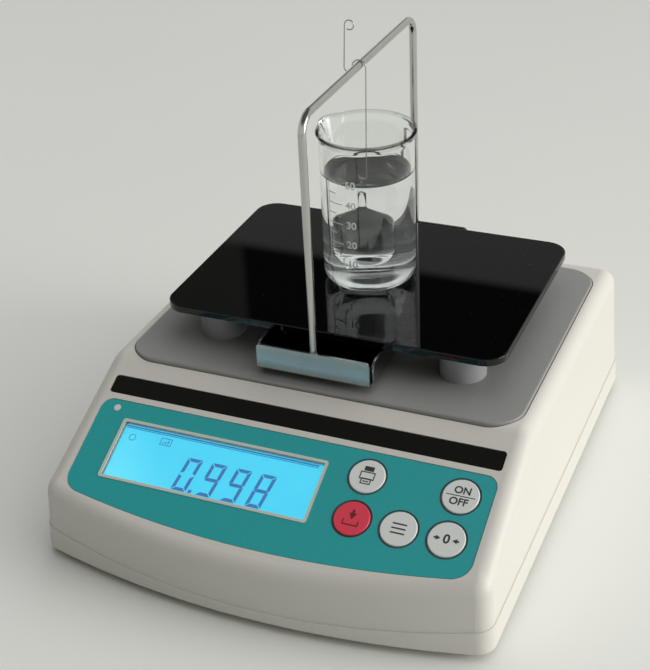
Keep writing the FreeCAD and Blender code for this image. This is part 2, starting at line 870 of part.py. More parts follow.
def tray_wall(high, length_low, length_high):
    """Upright profile of a folded edge, drawn in XZ: floor strip, bend and wall; extruded along Y."""
    outer_bend = tray_bend + tray_sheet
    edge_x = tray_half_width
    top = tray_low + high
    bend_x = edge_x - outer_bend
    bend_z = tray_low + outer_bend
    lean = math.sin(math.radians(45))
    points = [Vector(0, 0, tray_low), Vector(bend_x, 0, tray_low), Vector(edge_x, 0, bend_z),
              Vector(edge_x, 0, top), Vector(edge_x - tray_sheet, 0, top),
              Vector(edge_x - tray_sheet, 0, bend_z), Vector(bend_x, 0, tray_floor),
              Vector(0, 0, tray_floor)]
    outer_middle = Vector(bend_x + outer_bend * lean, 0, bend_z - outer_bend * lean)
    inner_middle = Vector(bend_x + tray_bend * lean, 0, bend_z - tray_bend * lean)
    edges = []
    for index, point in enumerate(points):
        after = points[(index + 1) % len(points)]
        if index == 1:
            edges.append(Part.Arc(point, outer_middle, after).toShape())
        elif index == 5:
            edges.append(Part.Arc(point, inner_middle, after).toShape())
        else:
            edges.append(Part.LineSegment(point, after).toShape())
    face = Part.Face(Part.Wire(edges))
    face.translate(Vector(0, length_low, 0))
    return face.extrude(Vector(0, length_high - length_low, 0))


def thickness_edges(solid, height):
    """Short edges of the sheet at one height, which its corners are rounded about."""
    return [edge for edge in at_height(solid, height) if abs(edge.Length - tray_sheet) < touch]


def weigh_tray():
    bend = tray_bend + tray_sheet
    flange_end = tray_half_length - bend - tray_corner_gap
    flange = tray_wall(tray_flange_height, -flange_end, flange_end)
    flange = flange.makeFillet(tray_flange_corner, thickness_edges(flange, tray_low + tray_flange_height))
    lip = tray_wall(tray_lip_height, -tray_lip_half_width, tray_lip_half_width)
    lip = lip.makeFillet(tray_lip_corner, thickness_edges(lip, tray_low + tray_lip_height))
    lip.translate(Vector(tray_half_length - tray_half_width, 0, 0))
    folds = []
    for turn in (0, 180):
        side = flange.copy()
        side.rotate(Vector(0, 0, 0), Vector(0, 0, 1), turn)
        end = lip.copy()
        end.rotate(Vector(0, 0, 0), Vector(0, 0, 1), turn + 90)
        folds.extend([side, end])
    floor_half = tray_half_width - bend
    floor_length = tray_half_length - bend
    folds.append(block(-floor_half, floor_half, -floor_length, floor_length, tray_low, tray_floor))
    tray = joined(folds)
    holes = [cylinder(tray_screw_radius + screw_clearance, tray_low - overrun, tray_floor + overrun, x, 0)
             for x in (-tray_screw_offset, tray_screw_offset)]
    return placed(tray.cut(Part.makeCompound(holes)), 0, platform_centre_y, 0)


def tray_hub():
    hub = cylinder(hub_radius, hub_low, tray_low)
    holes = [cylinder(tray_screw_radius + thread_clearance, hub_low - overrun, tray_low + overrun, x, 0)
             for x in (-tray_screw_offset, tray_screw_offset)]
    return placed(hub.cut(Part.makeCompound(holes)), 0, platform_centre_y, 0)


save("weigh_tray", weigh_tray())
save("tray_hub", tray_hub())
tray_screw = screw(tray_screw_head_radius, tray_screw_head_height, tray_screw_radius, tray_screw_length)
tray_screw.rotate(Vector(0, 0, 0), Vector(1, 0, 0), 180)
save("tray_screws", Part.makeCompound(
    [placed(tray_screw, x, platform_centre_y, tray_floor)
     for x in (-tray_screw_offset, tray_screw_offset)]))

# Rod frame: one rod bent into a gate, standing on the tray behind its lips
rod_y = tray_half_length - tray_sheet - rod_radius
rod_low = tray_floor + tray_bend
rod_front = platform_centre_y - rod_y
rod_rear = platform_centre_y + rod_y
rod_points = [Vector(0, rod_front, rod_low), Vector(0, rod_front, rod_bar_height),
              Vector(0, rod_rear, rod_bar_height), Vector(0, rod_rear, rod_low)]
save("hanger_frame", round_bar(bent_path(rod_points, [rod_bend, rod_bend]), rod_radius))


# Load cell and what it carries

def load_cell():
    half = cell_length / 2
    bar = block(-half, half, -cell_width / 2, cell_width / 2, cell_low, cell_top)
    middle = (cell_low + cell_top) / 2
    cuts = []
    for x in (-cell_hole_offset, cell_hole_offset):
        cuts.append(Part.makeCylinder(cell_hole_radius, cell_width + overrun * 2,
                                      Vector(x, -cell_width / 2 - overrun, middle), Vector(0, 1, 0)))
    cuts.append(block(-cell_hole_offset, cell_hole_offset, -cell_width, cell_width,
                      middle - cell_slot / 2, middle + cell_slot / 2))
    for x in cell_fixed_x:
        cuts.append(cylinder(cell_screw_radius + thread_clearance, cell_low - overrun,
                             cell_low + cell_screw_bite + hole_depth_spare, x, 0))
    for x in cell_free_x:
        cuts.append(cylinder(cell_screw_radius + thread_clearance,
                             cell_top - cell_screw_bite - hole_depth_spare,
                             cell_top + overrun, x, 0))
    return placed(bar.cut(Part.makeCompound(cuts)), 0, cell_y, 0)


def load_cell_spacer():
    low_x = -cell_length / 2
    spacer = block(low_x, low_x + cell_spacer_length, -cell_width / 2, cell_width / 2,
                   cell_pad_top, cell_low)
    holes = [cylinder(cell_screw_radius + screw_clearance, cell_pad_top - overrun, cell_low + overrun, x, 0)
             for x in cell_fixed_x]
    return placed(spacer.cut(Part.makeCompound(holes)), 0, cell_y, 0)


arm_low = cell_top + arm_step
arm_top = arm_low + arm_thickness


def spindle_arm():
    """Stepped bracket from the free end of the cell back to its middle."""
    foot_low_x = cell_free_x[1] - cell_screw_pitch / 2
    arm = block(-arm_overhang, cell_length / 2, -arm_width / 2, arm_width / 2, arm_low, arm_top)
    foot = block(foot_low_x, cell_length / 2, -cell_width / 2, cell_width / 2, cell_top, arm_low)
    holes = [cylinder(cell_screw_radius + screw_clearance, cell_top - overrun, arm_top + overrun, x, 0)
             for x in cell_free_x]
    holes.append(cylinder(spindle_screw_radius + screw_clearance, arm_low - overrun, arm_top + overrun))
    return placed(joined([arm, foot]).cut(Part.makeCompound(holes)), 0, cell_y, 0)


def weigh_spindle():
    post = cylinder(spindle_radius, arm_top, hub_low)
    hole = cylinder(spindle_screw_radius + thread_clearance, arm_top - overrun,
                    arm_top + spindle_screw_bite + hole_depth_spare)
    return placed(post.cut(hole), 0, cell_y, 0)


save("load_cell", load_cell())
save("load_cell_spacer", load_cell_spacer())
save("spindle_arm", spindle_arm())
save("weigh_spindle", weigh_spindle())

fixed_seat = bench_gap + cell_screw_head_height + screw_clearance
fixed_screw = hexagon_screw(cell_screw_head_radius, cell_screw_head_height, cell_screw_radius,
                            cell_low + cell_screw_bite - fixed_seat)
free_screw = hexagon_screw(cell_screw_head_radius, cell_screw_head_height, cell_screw_radius,
                           arm_top - cell_top + cell_screw_bite)
free_screw.rotate(Vector(0, 0, 0), Vector(1, 0, 0), 180)
cell_screws = [placed(fixed_screw, x, cell_y, fixed_seat) for x in cell_fixed_x]
cell_screws.extend([placed(free_screw, x, cell_y, arm_top) for x in cell_free_x])
save("load_cell_screws", Part.makeCompound(cell_screws))
spindle_screw = hexagon_screw(cell_screw_head_radius, arm_step - screw_clearance * 2, spindle_screw_radius,
                              arm_thickness + spindle_screw_bite)
save("spindle_screw", placed(spindle_screw, 0, cell_y, arm_low))

stop_low = bench_gap + floor_wall / 2
stop_nut_low = floor_top + stop_tower_height
stop_screw = cylinder(stop_screw_radius, stop_low, cell_low - stop_gap)
stop_nut = hexagon(stop_nut_radius, stop_nut_low, stop_nut_low + stop_nut_height)
save("overload_stop", placed(joined([stop_screw, stop_nut]), stop_x, cell_y, 0))

gauges = []
for x in (-cell_hole_offset, cell_hole_offset):
    for low in (cell_low - gauge_thickness, cell_top):
        gauges.append(block(x - gauge_length / 2, x + gauge_length / 2, cell_y - gauge_width / 2,
                            cell_y + gauge_width / 2, low, low + gauge_thickness))
save("strain_gauges", Part.makeCompound(gauges))


# Keypad face pieces

def keypad_overlay():
    low = -overlay_recess
    film = overlay_blank(0, low, low + overlay_thickness)
    cuts = [framed(window_half_x, window_half_y, window_across, window_down,
                   low - overrun, overrun, window_corner)]
    cuts.append(cylinder(lens_radius + lens_gap, low - overrun, overrun, lens_across, -lens_down))
    for across, down in key_places.values():
        cuts.append(cylinder(key_radius + key_gap, low - overrun, overrun, across, -down))
    return film.cut(Part.makeCompound(cuts))


def window_border():
    low = -overlay_recess
    high = low + overlay_thickness + border_proud
    outer = framed(window_half_x - window_clearance, window_half_y - window_clearance,
                   window_across, window_down, low, high, window_corner - window_clearance)
    inner = framed(opening_half_x, opening_half_y, window_across, window_down, low - overrun, overrun,
                   window_corner / 2)
    return outer.cut(inner)


def display_plate(margin_x, margin_y, low, high):
    """Plate behind the window, wider than its opening by a margin."""
    return framed(opening_half_x + margin_x, opening_half_y + margin_y,
                  window_across, window_down, low, high, window_corner)


def key_button():
    high = -overlay_recess + overlay_thickness + key_proud
    cap = cylinder(key_radius, flange_top, high)
    cap = cap.makeChamfer(key_edge, at_height(cap, high))
    return cap.fuse(cylinder(key_flange_radius, flange_low, flange_top)).removeSplitter()


def key_switch():
    half = switch_side / 2
    body = block(-half, half, -half, half, board_front, board_front + switch_height)
    return body.fuse(cylinder(switch_button_radius, board_front + switch_height, switch_top))


def indicator_lens():
    return cylinder(lens_radius, board_front + led_height + glass_gap, -overlay_recess + overlay_thickness,
                    lens_across, -lens_down)


save("keypad_overlay", on_slope(keypad_overlay()))
save("name_strip", on_slope(strip_blank(0, -strip_recess, -strip_recess + strip_thickness)))
save("window_border", on_slope(window_border()))
save("display_window", on_slope(framed(window_half_x, window_half_y, window_across, window_down, sheet_low,
                                       -overlay_recess, window_corner)))
save("lcd_panel", on_slope(display_plate(glass_margin, glass_margin, glass_low, glass_top)))
save("lcd_backlight", on_slope(display_plate(glass_margin - backlight_inset, glass_margin - backlight_inset,
                                             board_front, glass_low)))
save("indicator_lens", on_slope(indicator_lens()))
save("indicator_led", on_slope(cylinder(led_radius, board_front, board_front + led_height, lens_across,
                                        -lens_down)))
for name, (across, down) in key_places.items():
    save(name, on_slope(placed(key_button(), across, -down, 0)))
save("key_switches", Part.makeCompound(
    [on_slope(placed(key_switch(), across, -down, 0)) for across, down in key_places.values()]))

front_board = block(front_board_left, front_board_right, -front_board_bottom, -front_board_top, board_back,
                    board_front)
front_holes = [cylinder(front_screw_radius + screw_clearance, board_back - overrun, board_front + overrun,
                        across, -down) for across, down in front_screw_places]
save("front_board", on_slope(front_board.cut(Part.makeCompound(front_holes))))
front_screw = hexagon_screw(front_screw_head_radius, front_screw_head_height, front_screw_radius,
                            front_screw_length)
save("front_board_screws", Part.makeCompound(
    [on_slope(placed(front_screw, across, -down, board_back)) for across, down in front_screw_places]))
save("buzzer", on_slope(cylinder(buzzer_radius, board_back - buzzer_height, board_back, buzzer_across,
                                 -buzzer_down)))


# Main board, sockets and leads

bay_back_y = case_depth / 2 - bay_depth - (bay_low - bench_gap) * math.tan(math.radians(wall_draft))


def dc_socket():
    """Barrel socket: square body behind the wall, a round nose, a bore with its centre pin."""
    axis_z = board_top + dc_axis_height
    face_y = bay_back_y
    back_y = face_y - dc_body_depth
    body = block(dc_x - dc_width / 2, dc_x + dc_width / 2, back_y, face_y, board_top, board_top + dc_height)
    out = Vector(0, 1, 0)
    nose = Part.makeCylinder(dc_nose_radius, dc_nose_length, Vector(dc_x, face_y, axis_z), out)
    bore_start = face_y + dc_nose_length - dc_bore_depth
    bore = Part.makeCylinder(dc_bore_radius, dc_bore_depth + overrun, Vector(dc_x, bore_start, axis_z), out)
    pin = Part.makeCylinder(dc_pin_radius, dc_bore_depth, Vector(dc_x, bore_start, axis_z), out)
    return body.fuse(nose).cut(bore).fuse(pin).removeSplitter()


def serial_port():
    """Nine-way socket: body, flange and tapered metal shell round the contact block."""
    axis_z = board_top + serial_flange_height / 2
    half = serial_flange_width / 2
    body = block(serial_x - half + jack_flats, serial_x + half - jack_flats, bay_back_y - serial_body_depth,
                 bay_back_y, board_top, board_top + serial_flange_height)
    flange = block(serial_x - half, serial_x + half, bay_back_y, bay_back_y + serial_flange_thickness,
                   board_top, board_top + serial_flange_height)
    top_half = serial_shell_width / 2
    low_half = top_half - serial_shell_taper
    rise = serial_shell_height / 2
    points = [Vector(serial_x - low_half, 0, axis_z - rise), Vector(serial_x + low_half, 0, axis_z - rise),
              Vector(serial_x + top_half, 0, axis_z + rise), Vector(serial_x - top_half, 0, axis_z + rise),
              Vector(serial_x - low_half, 0, axis_z - rise)]
    shell = Part.Face(Part.makePolygon(points)).extrude(Vector(0, serial_shell_depth, 0))
    along = [edge for edge in shell.Edges if edge.BoundBox.YLength > serial_shell_depth / 2]
    shell = shell.makeFillet(serial_shell_corner, along)
    shell.translate(Vector(0, bay_back_y, 0))
    port = joined([body, flange, shell])
    front = bay_back_y + serial_shell_depth
    cuts = []
    for count, rise in ((5, serial_row_pitch / 2), (4, -serial_row_pitch / 2)):
        for step in range(count):
            x = serial_x + (step - (count - 1) / 2) * serial_hole_pitch
            start = Vector(x, front - serial_hole_depth, axis_z + rise)
            cuts.append(Part.makeCylinder(serial_hole_radius, serial_hole_depth + overrun, start,
                                          Vector(0, 1, 0)))
    for x in (serial_x - jack_pitch / 2, serial_x + jack_pitch / 2):
        cuts.append(Part.makeCylinder(jack_hole_radius, serial_flange_thickness + overrun * 2,
                                      Vector(x, bay_back_y - overrun, axis_z), Vector(0, 1, 0)))
    return port.cut(Part.makeCompound(cuts))


def jack_post():
    """Hexagon post that a plug's thumbscrew enters."""
    across = jack_flats / math.sqrt(3)
    turns = [math.radians(60 * step) for step in range(7)]
    points = [Vector(across * math.cos(turn), 0, across * math.sin(turn)) for turn in turns]
    post = Part.Face(Part.makePolygon(points)).extrude(Vector(0, jack_length, 0))
    return post.cut(Part.makeCylinder(jack_hole_radius, jack_length + overrun * 2, Vector(0, -overrun, 0),
                                      Vector(0, 1, 0)))


main_board = block(-main_board_half_width, main_board_half_width, main_board_front_y, main_board_rear_y,
                   board_face, board_top)
main_holes = [cylinder(front_screw_radius + screw_clearance, board_face - overrun, board_top + overrun,
                       x, y) for x, y in main_screw_places]
save("main_board", main_board.cut(Part.makeCompound(main_holes)))
main_screw = hexagon_screw(front_screw_head_radius, front_screw_head_height, front_screw_radius,
                           main_screw_length)
main_screw.rotate(Vector(0, 0, 0), Vector(1, 0, 0), 180)
save("main_board_screws", Part.makeCompound(
    [placed(main_screw, x, y, board_top) for x, y in main_screw_places]))
save("dc_socket", dc_socket())
save("serial_port", serial_port())
jack_z = board_top + serial_flange_height / 2
jack_y = bay_back_y + serial_flange_thickness
save("jack_posts", Part.makeCompound(
    [placed(jack_post(), x, jack_y, jack_z)
     for x in (serial_x - jack_pitch / 2, serial_x + jack_pitch / 2)]))

board_middle_y = (main_board_front_y + main_board_rear_y) / 2
save("signal_shield", rounded_block(shield_x - shield_length / 2, shield_x + shield_length / 2,
                                    board_middle_y - shield_width / 2, board_middle_y + shield_width / 2,
                                    board_top, board_top + shield_height, shield_corner))


def board_parts():
    """Processor, memory and supply parts that stand on the main board."""
    half = chip_side / 2
    parts = [block(-half, half, board_middle_y - half, board_middle_y + half, board_top,
                   board_top + chip_thickness)]
    chip_x = half + chip_gap
    parts.append(block(chip_x, chip_x + half, board_middle_y - half, board_middle_y, board_top,
                       board_top + chip_thickness))
    for step in range(2):
        x = chip_x + chip_side + capacitor_radius * (1 + step * 3)
        parts.append(cylinder(capacitor_radius, board_top, board_top + capacitor_height, x, board_middle_y))
    return Part.makeCompound(parts)


save("board_parts", board_parts())


def plug_housing(centre_x, centre_y, width):
    """White plug of a lead, standing on the main board."""
    return block(centre_x - width / 2, centre_x + width / 2, centre_y - plug_body_width / 2,
                 centre_y + plug_body_width / 2, board_top, board_top + plug_body_height)


plug_y = main_board_front_y + plug_body_width
lead_x = lead_inset - cell_length / 2
lead_y = cell_y + cell_width / 2
lead_z = (cell_low + cell_top) / 2
ribbon_plug_z = board_top + plug_body_height
save("lead_plugs", Part.makeCompound([
    plug_housing(lead_x, plug_y, plug_body_width * 2),
    plug_housing(ribbon_x, plug_y, ribbon_width + plug_body_width),
    on_slope(block(ribbon_x - ribbon_width / 2 - plug_body_width / 2,
                   ribbon_x + ribbon_width / 2 + plug_body_width / 2,
                   -ribbon_down - plug_body_width / 2, -ribbon_down + plug_body_width / 2,
                   board_back - plug_body_height, board_back)),
]))
lead_path = bent_path([
    Vector(lead_x, lead_y, lead_z),
    Vector(lead_x, lead_y + lead_bend, lead_z),
    Vector(lead_x, plug_y, ribbon_plug_z + lead_rise),
    Vector(lead_x, plug_y, ribbon_plug_z),
], [lead_bend, lead_bend])
save("load_cell_lead", thin_bar(lead_path, lead_radius))


def display_ribbon():
    """Flat lead from the front board back to the main board, bent in one plane."""
    start = slope_point(ribbon_x, ribbon_down, board_back - plug_body_height)
    away = slope_point(ribbon_x, ribbon_down,
                       board_back - plug_body_height - ribbon_bend * 2)
    end = Vector(ribbon_x, plug_y, ribbon_plug_z)
    above = Vector(ribbon_x, plug_y, ribbon_plug_z + ribbon_rise)
    path = bent_path([start, away, above, end], [ribbon_bend, ribbon_bend])
    side = Vector(1, 0, 0)
    thick = path_start(path)[1].cross(side)
    half_side = side * (ribbon_width / 2)
    half_thick = thick * (ribbon_thickness / 2)
    loop = [start - half_side - half_thick, start + half_side - half_thick, start + half_side + half_thick,
            start - half_side + half_thick, start - half_side - half_thick]
    return path.makePipeShell([Part.makePolygon(loop)], True, False)


save("display_ribbon", display_ribbon())


# Beaker: a turned wall with a flared rim and a pouring spout

def vessel(inset, low):
    """Turned solid that fills the beaker's outline, moved in by an inset and starting at a height."""
    radius = beaker_radius - inset
    rounding = beaker_base_round - inset
    lean = 1 - math.sin(math.radians(45))
    flare = beaker_rim_radius - beaker_radius
    flare_low = beaker_height - beaker_flare_height
    flare_middle = Vector(radius + flare / 4, 0, flare_low + beaker_flare_height * flare_middle_share)
    edges = [
        Part.LineSegment(Vector(0, 0, low), Vector(radius - rounding, 0, low)).toShape(),
        Part.Arc(Vector(radius - rounding, 0, low),
                 Vector(radius - rounding * lean, 0, low + rounding * lean),
                 Vector(radius, 0, low + rounding)).toShape(),
        Part.LineSegment(Vector(radius, 0, low + rounding), Vector(radius, 0, flare_low)).toShape(),
        Part.Arc(Vector(radius, 0, flare_low), flare_middle,
                 Vector(radius + flare, 0, beaker_height)).toShape(),
        Part.LineSegment(Vector(radius + flare, 0, beaker_height), Vector(0, 0, beaker_height)).toShape(),
        Part.LineSegment(Vector(0, 0, beaker_height), Vector(0, 0, low)).toShape(),
    ]
    return Part.Face(Part.Wire(edges)).revolve(Vector(0, 0, 0), Vector(0, 0, 1), 360)


def spout_form(inset):
    """Leaning cone that swells the rim into a spout."""
    tip = polar(beaker_radius - inset - spout_tip_radius, spout_direction)
    tip.z = beaker_height - spout_depth
    mouth = polar(spout_reach - spout_radius, spout_direction)
    mouth.z = beaker_height
    rings = [Part.Wire([Part.makeCircle(spout_tip_radius, tip)]),
             Part.Wire([Part.makeCircle(spout_radius - inset, mouth)])]
    return Part.makeLoft(rings, True, True)


def beaker():
    outside = vessel(0, 0).fuse(spout_form(0))
    glass = outside.cut(vessel(beaker_wall, beaker_floor)).cut(spout_form(beaker_wall))
    return placed(glass.removeSplitter(), beaker_x, beaker_y, plate_top)


save("beaker", beaker())


# Hanger wire: finger ring, handle, return bend, saddle over the bar and hook

def aside(point, angle, distance):
    """A point of the hanger's plane, moved at an angle in degrees from +X towards +Z."""
    turn = math.radians(angle)
    return point[0] + distance * math.cos(turn), point[1] + distance * math.sin(turn)


def run_to(start, angle, height):
    """Where a straight run from the start reaches a height."""
    return aside(start, angle, (height - start[1]) / math.sin(math.radians(angle)))


def wire_arc(centre, radius, start, end):
    points = [aside(centre, angle, radius) for angle in (start, (start + end) / 2, end)]
    return Part.Arc(*[Vector(x, hanger_y, z) for x, z in points]).toShape()


def wire_run(start, end):
    return Part.LineSegment(*[Vector(x, hanger_y, z) for x, z in (start, end)]).toShape()


half_turn = 180
quarter_turn = 90
saddle_play = saddle_radius - wire_radius - rod_radius - saddle_gap
saddle = (saddle_centre_x, rod_bar_height - math.sqrt(saddle_play ** 2 - saddle_centre_x ** 2))
saddle_left = aside(saddle, half_turn, saddle_radius)
return_right = (saddle_left[0], saddle_left[1] - return_depth)
return_centre = aside(return_right, half_turn, return_radius)
handle_low = aside(return_centre, half_turn - handle_lean, return_radius)
handle_high = run_to(handle_low, quarter_turn - handle_lean, ring_height)
ring_centre = aside(handle_high, -handle_lean, ring_radius)
run_high = aside(saddle, -run_lean, saddle_radius)
run_end_height = aside((0, hook_height + hook_radius), -run_lean, hook_radius)[1]
run_low = run_to(run_high, -quarter_turn - run_lean, run_end_height)
hook_centre = aside(run_low, half_turn - run_lean, hook_radius)
hook_left = aside(hook_centre, half_turn, hook_radius)
hook_end = (hook_left[0], hook_left[1] + hook_tip)


def hanger_wire():
    edges = [
        wire_arc(ring_centre, ring_radius, half_turn - handle_lean - ring_turn, half_turn - handle_lean),
        wire_run(handle_high, handle_low),
        wire_arc(return_centre, return_radius, -half_turn - handle_lean, 0),
        wire_run(return_right, saddle_left),
        wire_arc(saddle, saddle_radius, half_turn, -run_lean),
        wire_run(run_high, run_low),
        wire_arc(hook_centre, hook_radius, -run_lean, -half_turn),
        wire_run(hook_left, hook_end),
    ]
    return thin_bar(Part.Wire(edges), wire_radius)


save("hanger_wire", hanger_wire())


# Sinker: glass plummet with a fused eye

eye_z = hook_height + wire_radius + eye_gap - (eye_radius - eye_wire)
sinker_top = eye_z - eye_radius - sinker_neck_height
sinker_low = sinker_top - sinker_length
sinker_shoulder = sinker_top - sinker_cone


def sinker():
    outline = [(0, sinker_low), (sinker_radius, sinker_low), (sinker_radius, sinker_shoulder),
               (sinker_neck_radius, sinker_top), (sinker_neck_radius, eye_z - eye_radius),
               (0, eye_z - eye_radius)]
    half = Part.Face(Part.makePolygon([Vector(radius, 0, z) for radius, z in outline + outline[:1]]))
    body = half.revolve(Vector(0, 0, 0), Vector(0, 0, 1), 360)
    body = body.makeFillet(sinker_base_round, at_height(body, sinker_low))
    body = body.makeFillet(sinker_shoulder_round, at_height(body, sinker_shoulder))
    body = body.makeFillet(sinker_neck_round, at_height(body, sinker_top))
    turns = [math.radians(60 * step) for step in range(7)]
    section = Part.makePolygon([Vector(eye_wire * math.sin(turn), eye_radius + eye_wire * math.cos(turn), 0)
                                for turn in turns])
    eye = Part.Face(section).revolve(Vector(0, 0, 0), Vector(1, 0, 0), 360)
    return placed(joined([body, placed(eye, 0, 0, eye_z)]), hook_centre[0], hanger_y, 0)


save("sinker", sinker())
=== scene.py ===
import math

import bmesh
import bpy
from mathutils import Matrix, Vector


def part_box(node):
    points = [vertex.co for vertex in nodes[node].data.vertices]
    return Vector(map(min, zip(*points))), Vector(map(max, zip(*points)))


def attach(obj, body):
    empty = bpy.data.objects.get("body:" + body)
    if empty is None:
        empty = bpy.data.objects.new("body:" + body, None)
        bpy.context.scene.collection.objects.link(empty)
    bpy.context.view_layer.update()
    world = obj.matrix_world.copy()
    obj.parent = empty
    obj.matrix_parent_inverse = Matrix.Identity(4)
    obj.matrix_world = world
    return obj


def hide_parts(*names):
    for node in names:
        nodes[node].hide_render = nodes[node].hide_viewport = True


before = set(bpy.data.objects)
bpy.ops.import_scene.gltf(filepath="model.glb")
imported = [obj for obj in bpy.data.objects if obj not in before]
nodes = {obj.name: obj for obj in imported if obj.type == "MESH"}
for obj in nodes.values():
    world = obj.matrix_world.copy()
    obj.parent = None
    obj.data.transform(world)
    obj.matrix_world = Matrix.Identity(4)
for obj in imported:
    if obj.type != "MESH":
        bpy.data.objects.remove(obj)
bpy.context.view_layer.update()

mm = 0.001

# Camera
# A long lens to the right of the keypad, a little above the bench, as the photograph was taken.
# It is tilted by a few degrees, because the real one was held by hand.
photo_width = 650
photo_height = 670
focal_pixels = 1422.76
camera_round = math.radians(24.27)
camera_above = math.radians(30.83)
camera_roll = math.radians(-2.914)
camera_distance = 602.5 * mm
camera_aim = Vector((-10.5, 5.15, 62.5)) * mm

toward = Vector((math.sin(camera_round) * math.cos(camera_above),
                 -math.cos(camera_round) * math.cos(camera_above), math.sin(camera_above)))
level = Vector((math.cos(camera_round), math.sin(camera_round), 0))
upward = toward.cross(level)
frame_right = level * math.cos(camera_roll) + upward * math.sin(camera_roll)
frame_top = upward * math.cos(camera_roll) - level * math.sin(camera_roll)
camera = bpy.data.objects.new("camera", bpy.data.cameras.new("camera"))
camera.data.lens = focal_pixels * camera.data.sensor_width / max(photo_width, photo_height)
camera.data.clip_start = 10 * mm
turned = Matrix((frame_right, frame_top, toward)).transposed().to_4x4()
camera.matrix_world = Matrix.Translation(camera_aim + toward * camera_distance) @ turned
bpy.context.scene.collection.objects.link(camera)
bpy.context.scene.camera = camera
bpy.context.scene.view_settings.view_transform = "Standard"


# Bench, window light and room
# A pale matt bench top. A large soft window at the right makes the right wall bright and leaves
# the front in its own shade; pale walls and a ceiling give the rest, with one dark doorway.

class Shade:
    """An output of a material's nodes. Sums on it add Math nodes to the same material."""

    def __init__(self, tree, socket=None):
        self.tree = tree
        self.socket = socket

    def node(self, kind, settings=None, sockets=None, output=0):
        """Add a node: its settings first, then the values or links of its sockets."""
        made = self.tree.nodes.new(kind)
        for name, value in (settings or {}).items():
            setattr(made, name, value)
        for name, value in (sockets or {}).items():
            if isinstance(value, Shade):
                self.tree.links.new(value.socket, made.inputs[name])
            else:
                made.inputs[name].default_value = value
        return Shade(self.tree, made.outputs[output] if len(made.outputs) else None)

    def math(self, operation, first, second):
        return self.node("ShaderNodeMath", {"operation": operation}, {0: first, 1: second})

    def __add__(self, other):
        return self.math("ADD", self, other)

    def __radd__(self, other):
        return self.math("ADD", other, self)

    def __mul__(self, other):
        return self.math("MULTIPLY", self, other)

    def __rmul__(self, other):
        return self.math("MULTIPLY", other, self)

    def between(self, first, second):
        """The colour that lies between two colours by this share."""
        sockets = {0: self, 6: first, 7: second}
        for place in (6, 7):
            if not isinstance(sockets[place], Shade):
                sockets[place] = (*sockets[place], 1.0)
        return self.node("ShaderNodeMix", {"data_type": "RGBA"}, sockets, output=2)

    def eased(self, low, high):
        """A soft step from 0 at one value to 1 at another."""
        return self.node("ShaderNodeMapRange", {"interpolation_type": "SMOOTHSTEP"},
                         {"Value": self, "From Min": low, "From Max": high})


def new_finish(name):
    """An empty material, and the start of its nodes."""
    material = bpy.data.materials.new(name)
    material.use_nodes = True
    material.node_tree.nodes.clear()
    return material, Shade(material.node_tree)


def surface(material, start, sockets):
    """Close a material with its surface shader, and return it."""
    shader = start.node("ShaderNodeBsdfPrincipled", None, sockets)
    start.node("ShaderNodeOutputMaterial", None, {"Surface": shader})
    return material


def noise(place, size, detail=2.0, roughness=0.5):
    """Soft noise, from 0 to 1, whose blots are about as large as the size."""
    return place.node("ShaderNodeTexNoise", None,
                      {"Vector": place, "Scale": 1 / size, "Detail": detail, "Roughness": roughness})


def relief(height, depth, strength=1.0):
    """Normal of a surface whose height varies by the depth."""
    return height.node("ShaderNodeBump", None,
                       {"Strength": strength, "Distance": depth, "Height": height})


def bench_top():
    """Matt white laminate with a faint mottle."""
    material, start = new_finish("bench_top")
    place = start.node("ShaderNodeTexCoord", output="Object")
    mottle = noise(place, bench_mottle, 3.0)
    return surface(material, start, {
        "Base Color": mottle.between(bench_dark, bench_pale), "Roughness": 0.85, "Specular IOR Level": 0.2})


bench_half = 4.0
bench_mottle = 0.2
bench_dark = (0.80, 0.81, 0.77)
bench_pale = (0.84, 0.845, 0.805)
bench_mesh = bpy.data.meshes.new("bench")
bench_mesh.from_pydata([(-bench_half, -bench_half, 0), (bench_half, -bench_half, 0),
                        (bench_half, bench_half, 0), (-bench_half, bench_half, 0)], [], [(0, 1, 2, 3)])
bench = bpy.data.objects.new("bench", bench_mesh)
bench_mesh.materials.append(bench_top())
bpy.context.scene.collection.objects.link(bench)


window_place = Vector((1.50, 0.17, 0.42))
window_aim = Vector((0, 0, 0.05))
window_width = 0.95
window_height = 0.80
window_power = 3.45
window_tone = (1.0, 0.985, 0.95)
window_spread = math.radians(90)


def window_light():
    """A soft rectangular lamp that lights less to its sides, so the bench below it stays plain."""
    data = bpy.data.lights.new("window", "AREA")
    data.shape = "RECTANGLE"
    data.size = window_width
    data.size_y = window_height
    data.energy = window_power
    data.color = window_tone
    data.spread = window_spread
    light = bpy.data.objects.new("window", data)
    light.location = window_place
    light.rotation_mode = "QUATERNION"
    light.rotation_quaternion = (window_place - window_aim).to_track_quat("Z", "Y")
    bpy.context.scene.collection.objects.link(light)


window_light()

ceiling_height = (0.50, 0.80)
ceiling_seen = (0.10, 0.10, 0.10)
ceiling_through_glass = (0.95, 0.96, 0.95)
wall_tone = (0.66, 0.67, 0.65)
doorway_angles = (0.955, 0.981)
door_side = math.radians(27.8)
door_edge = 0.004
sill_slope = 0.575
over_sill_tone = (0.235, 0.24, 0.235)
beside_door_tone = (0.085, 0.085, 0.08)
doorway_tone = (0.004, 0.004, 0.004)
ambient_from = (0.54, 0.40, 0.74)
ambient_dim = (0.02, 0.02, 0.02)
ambient_bright = (1.20, 1.20, 1.19)


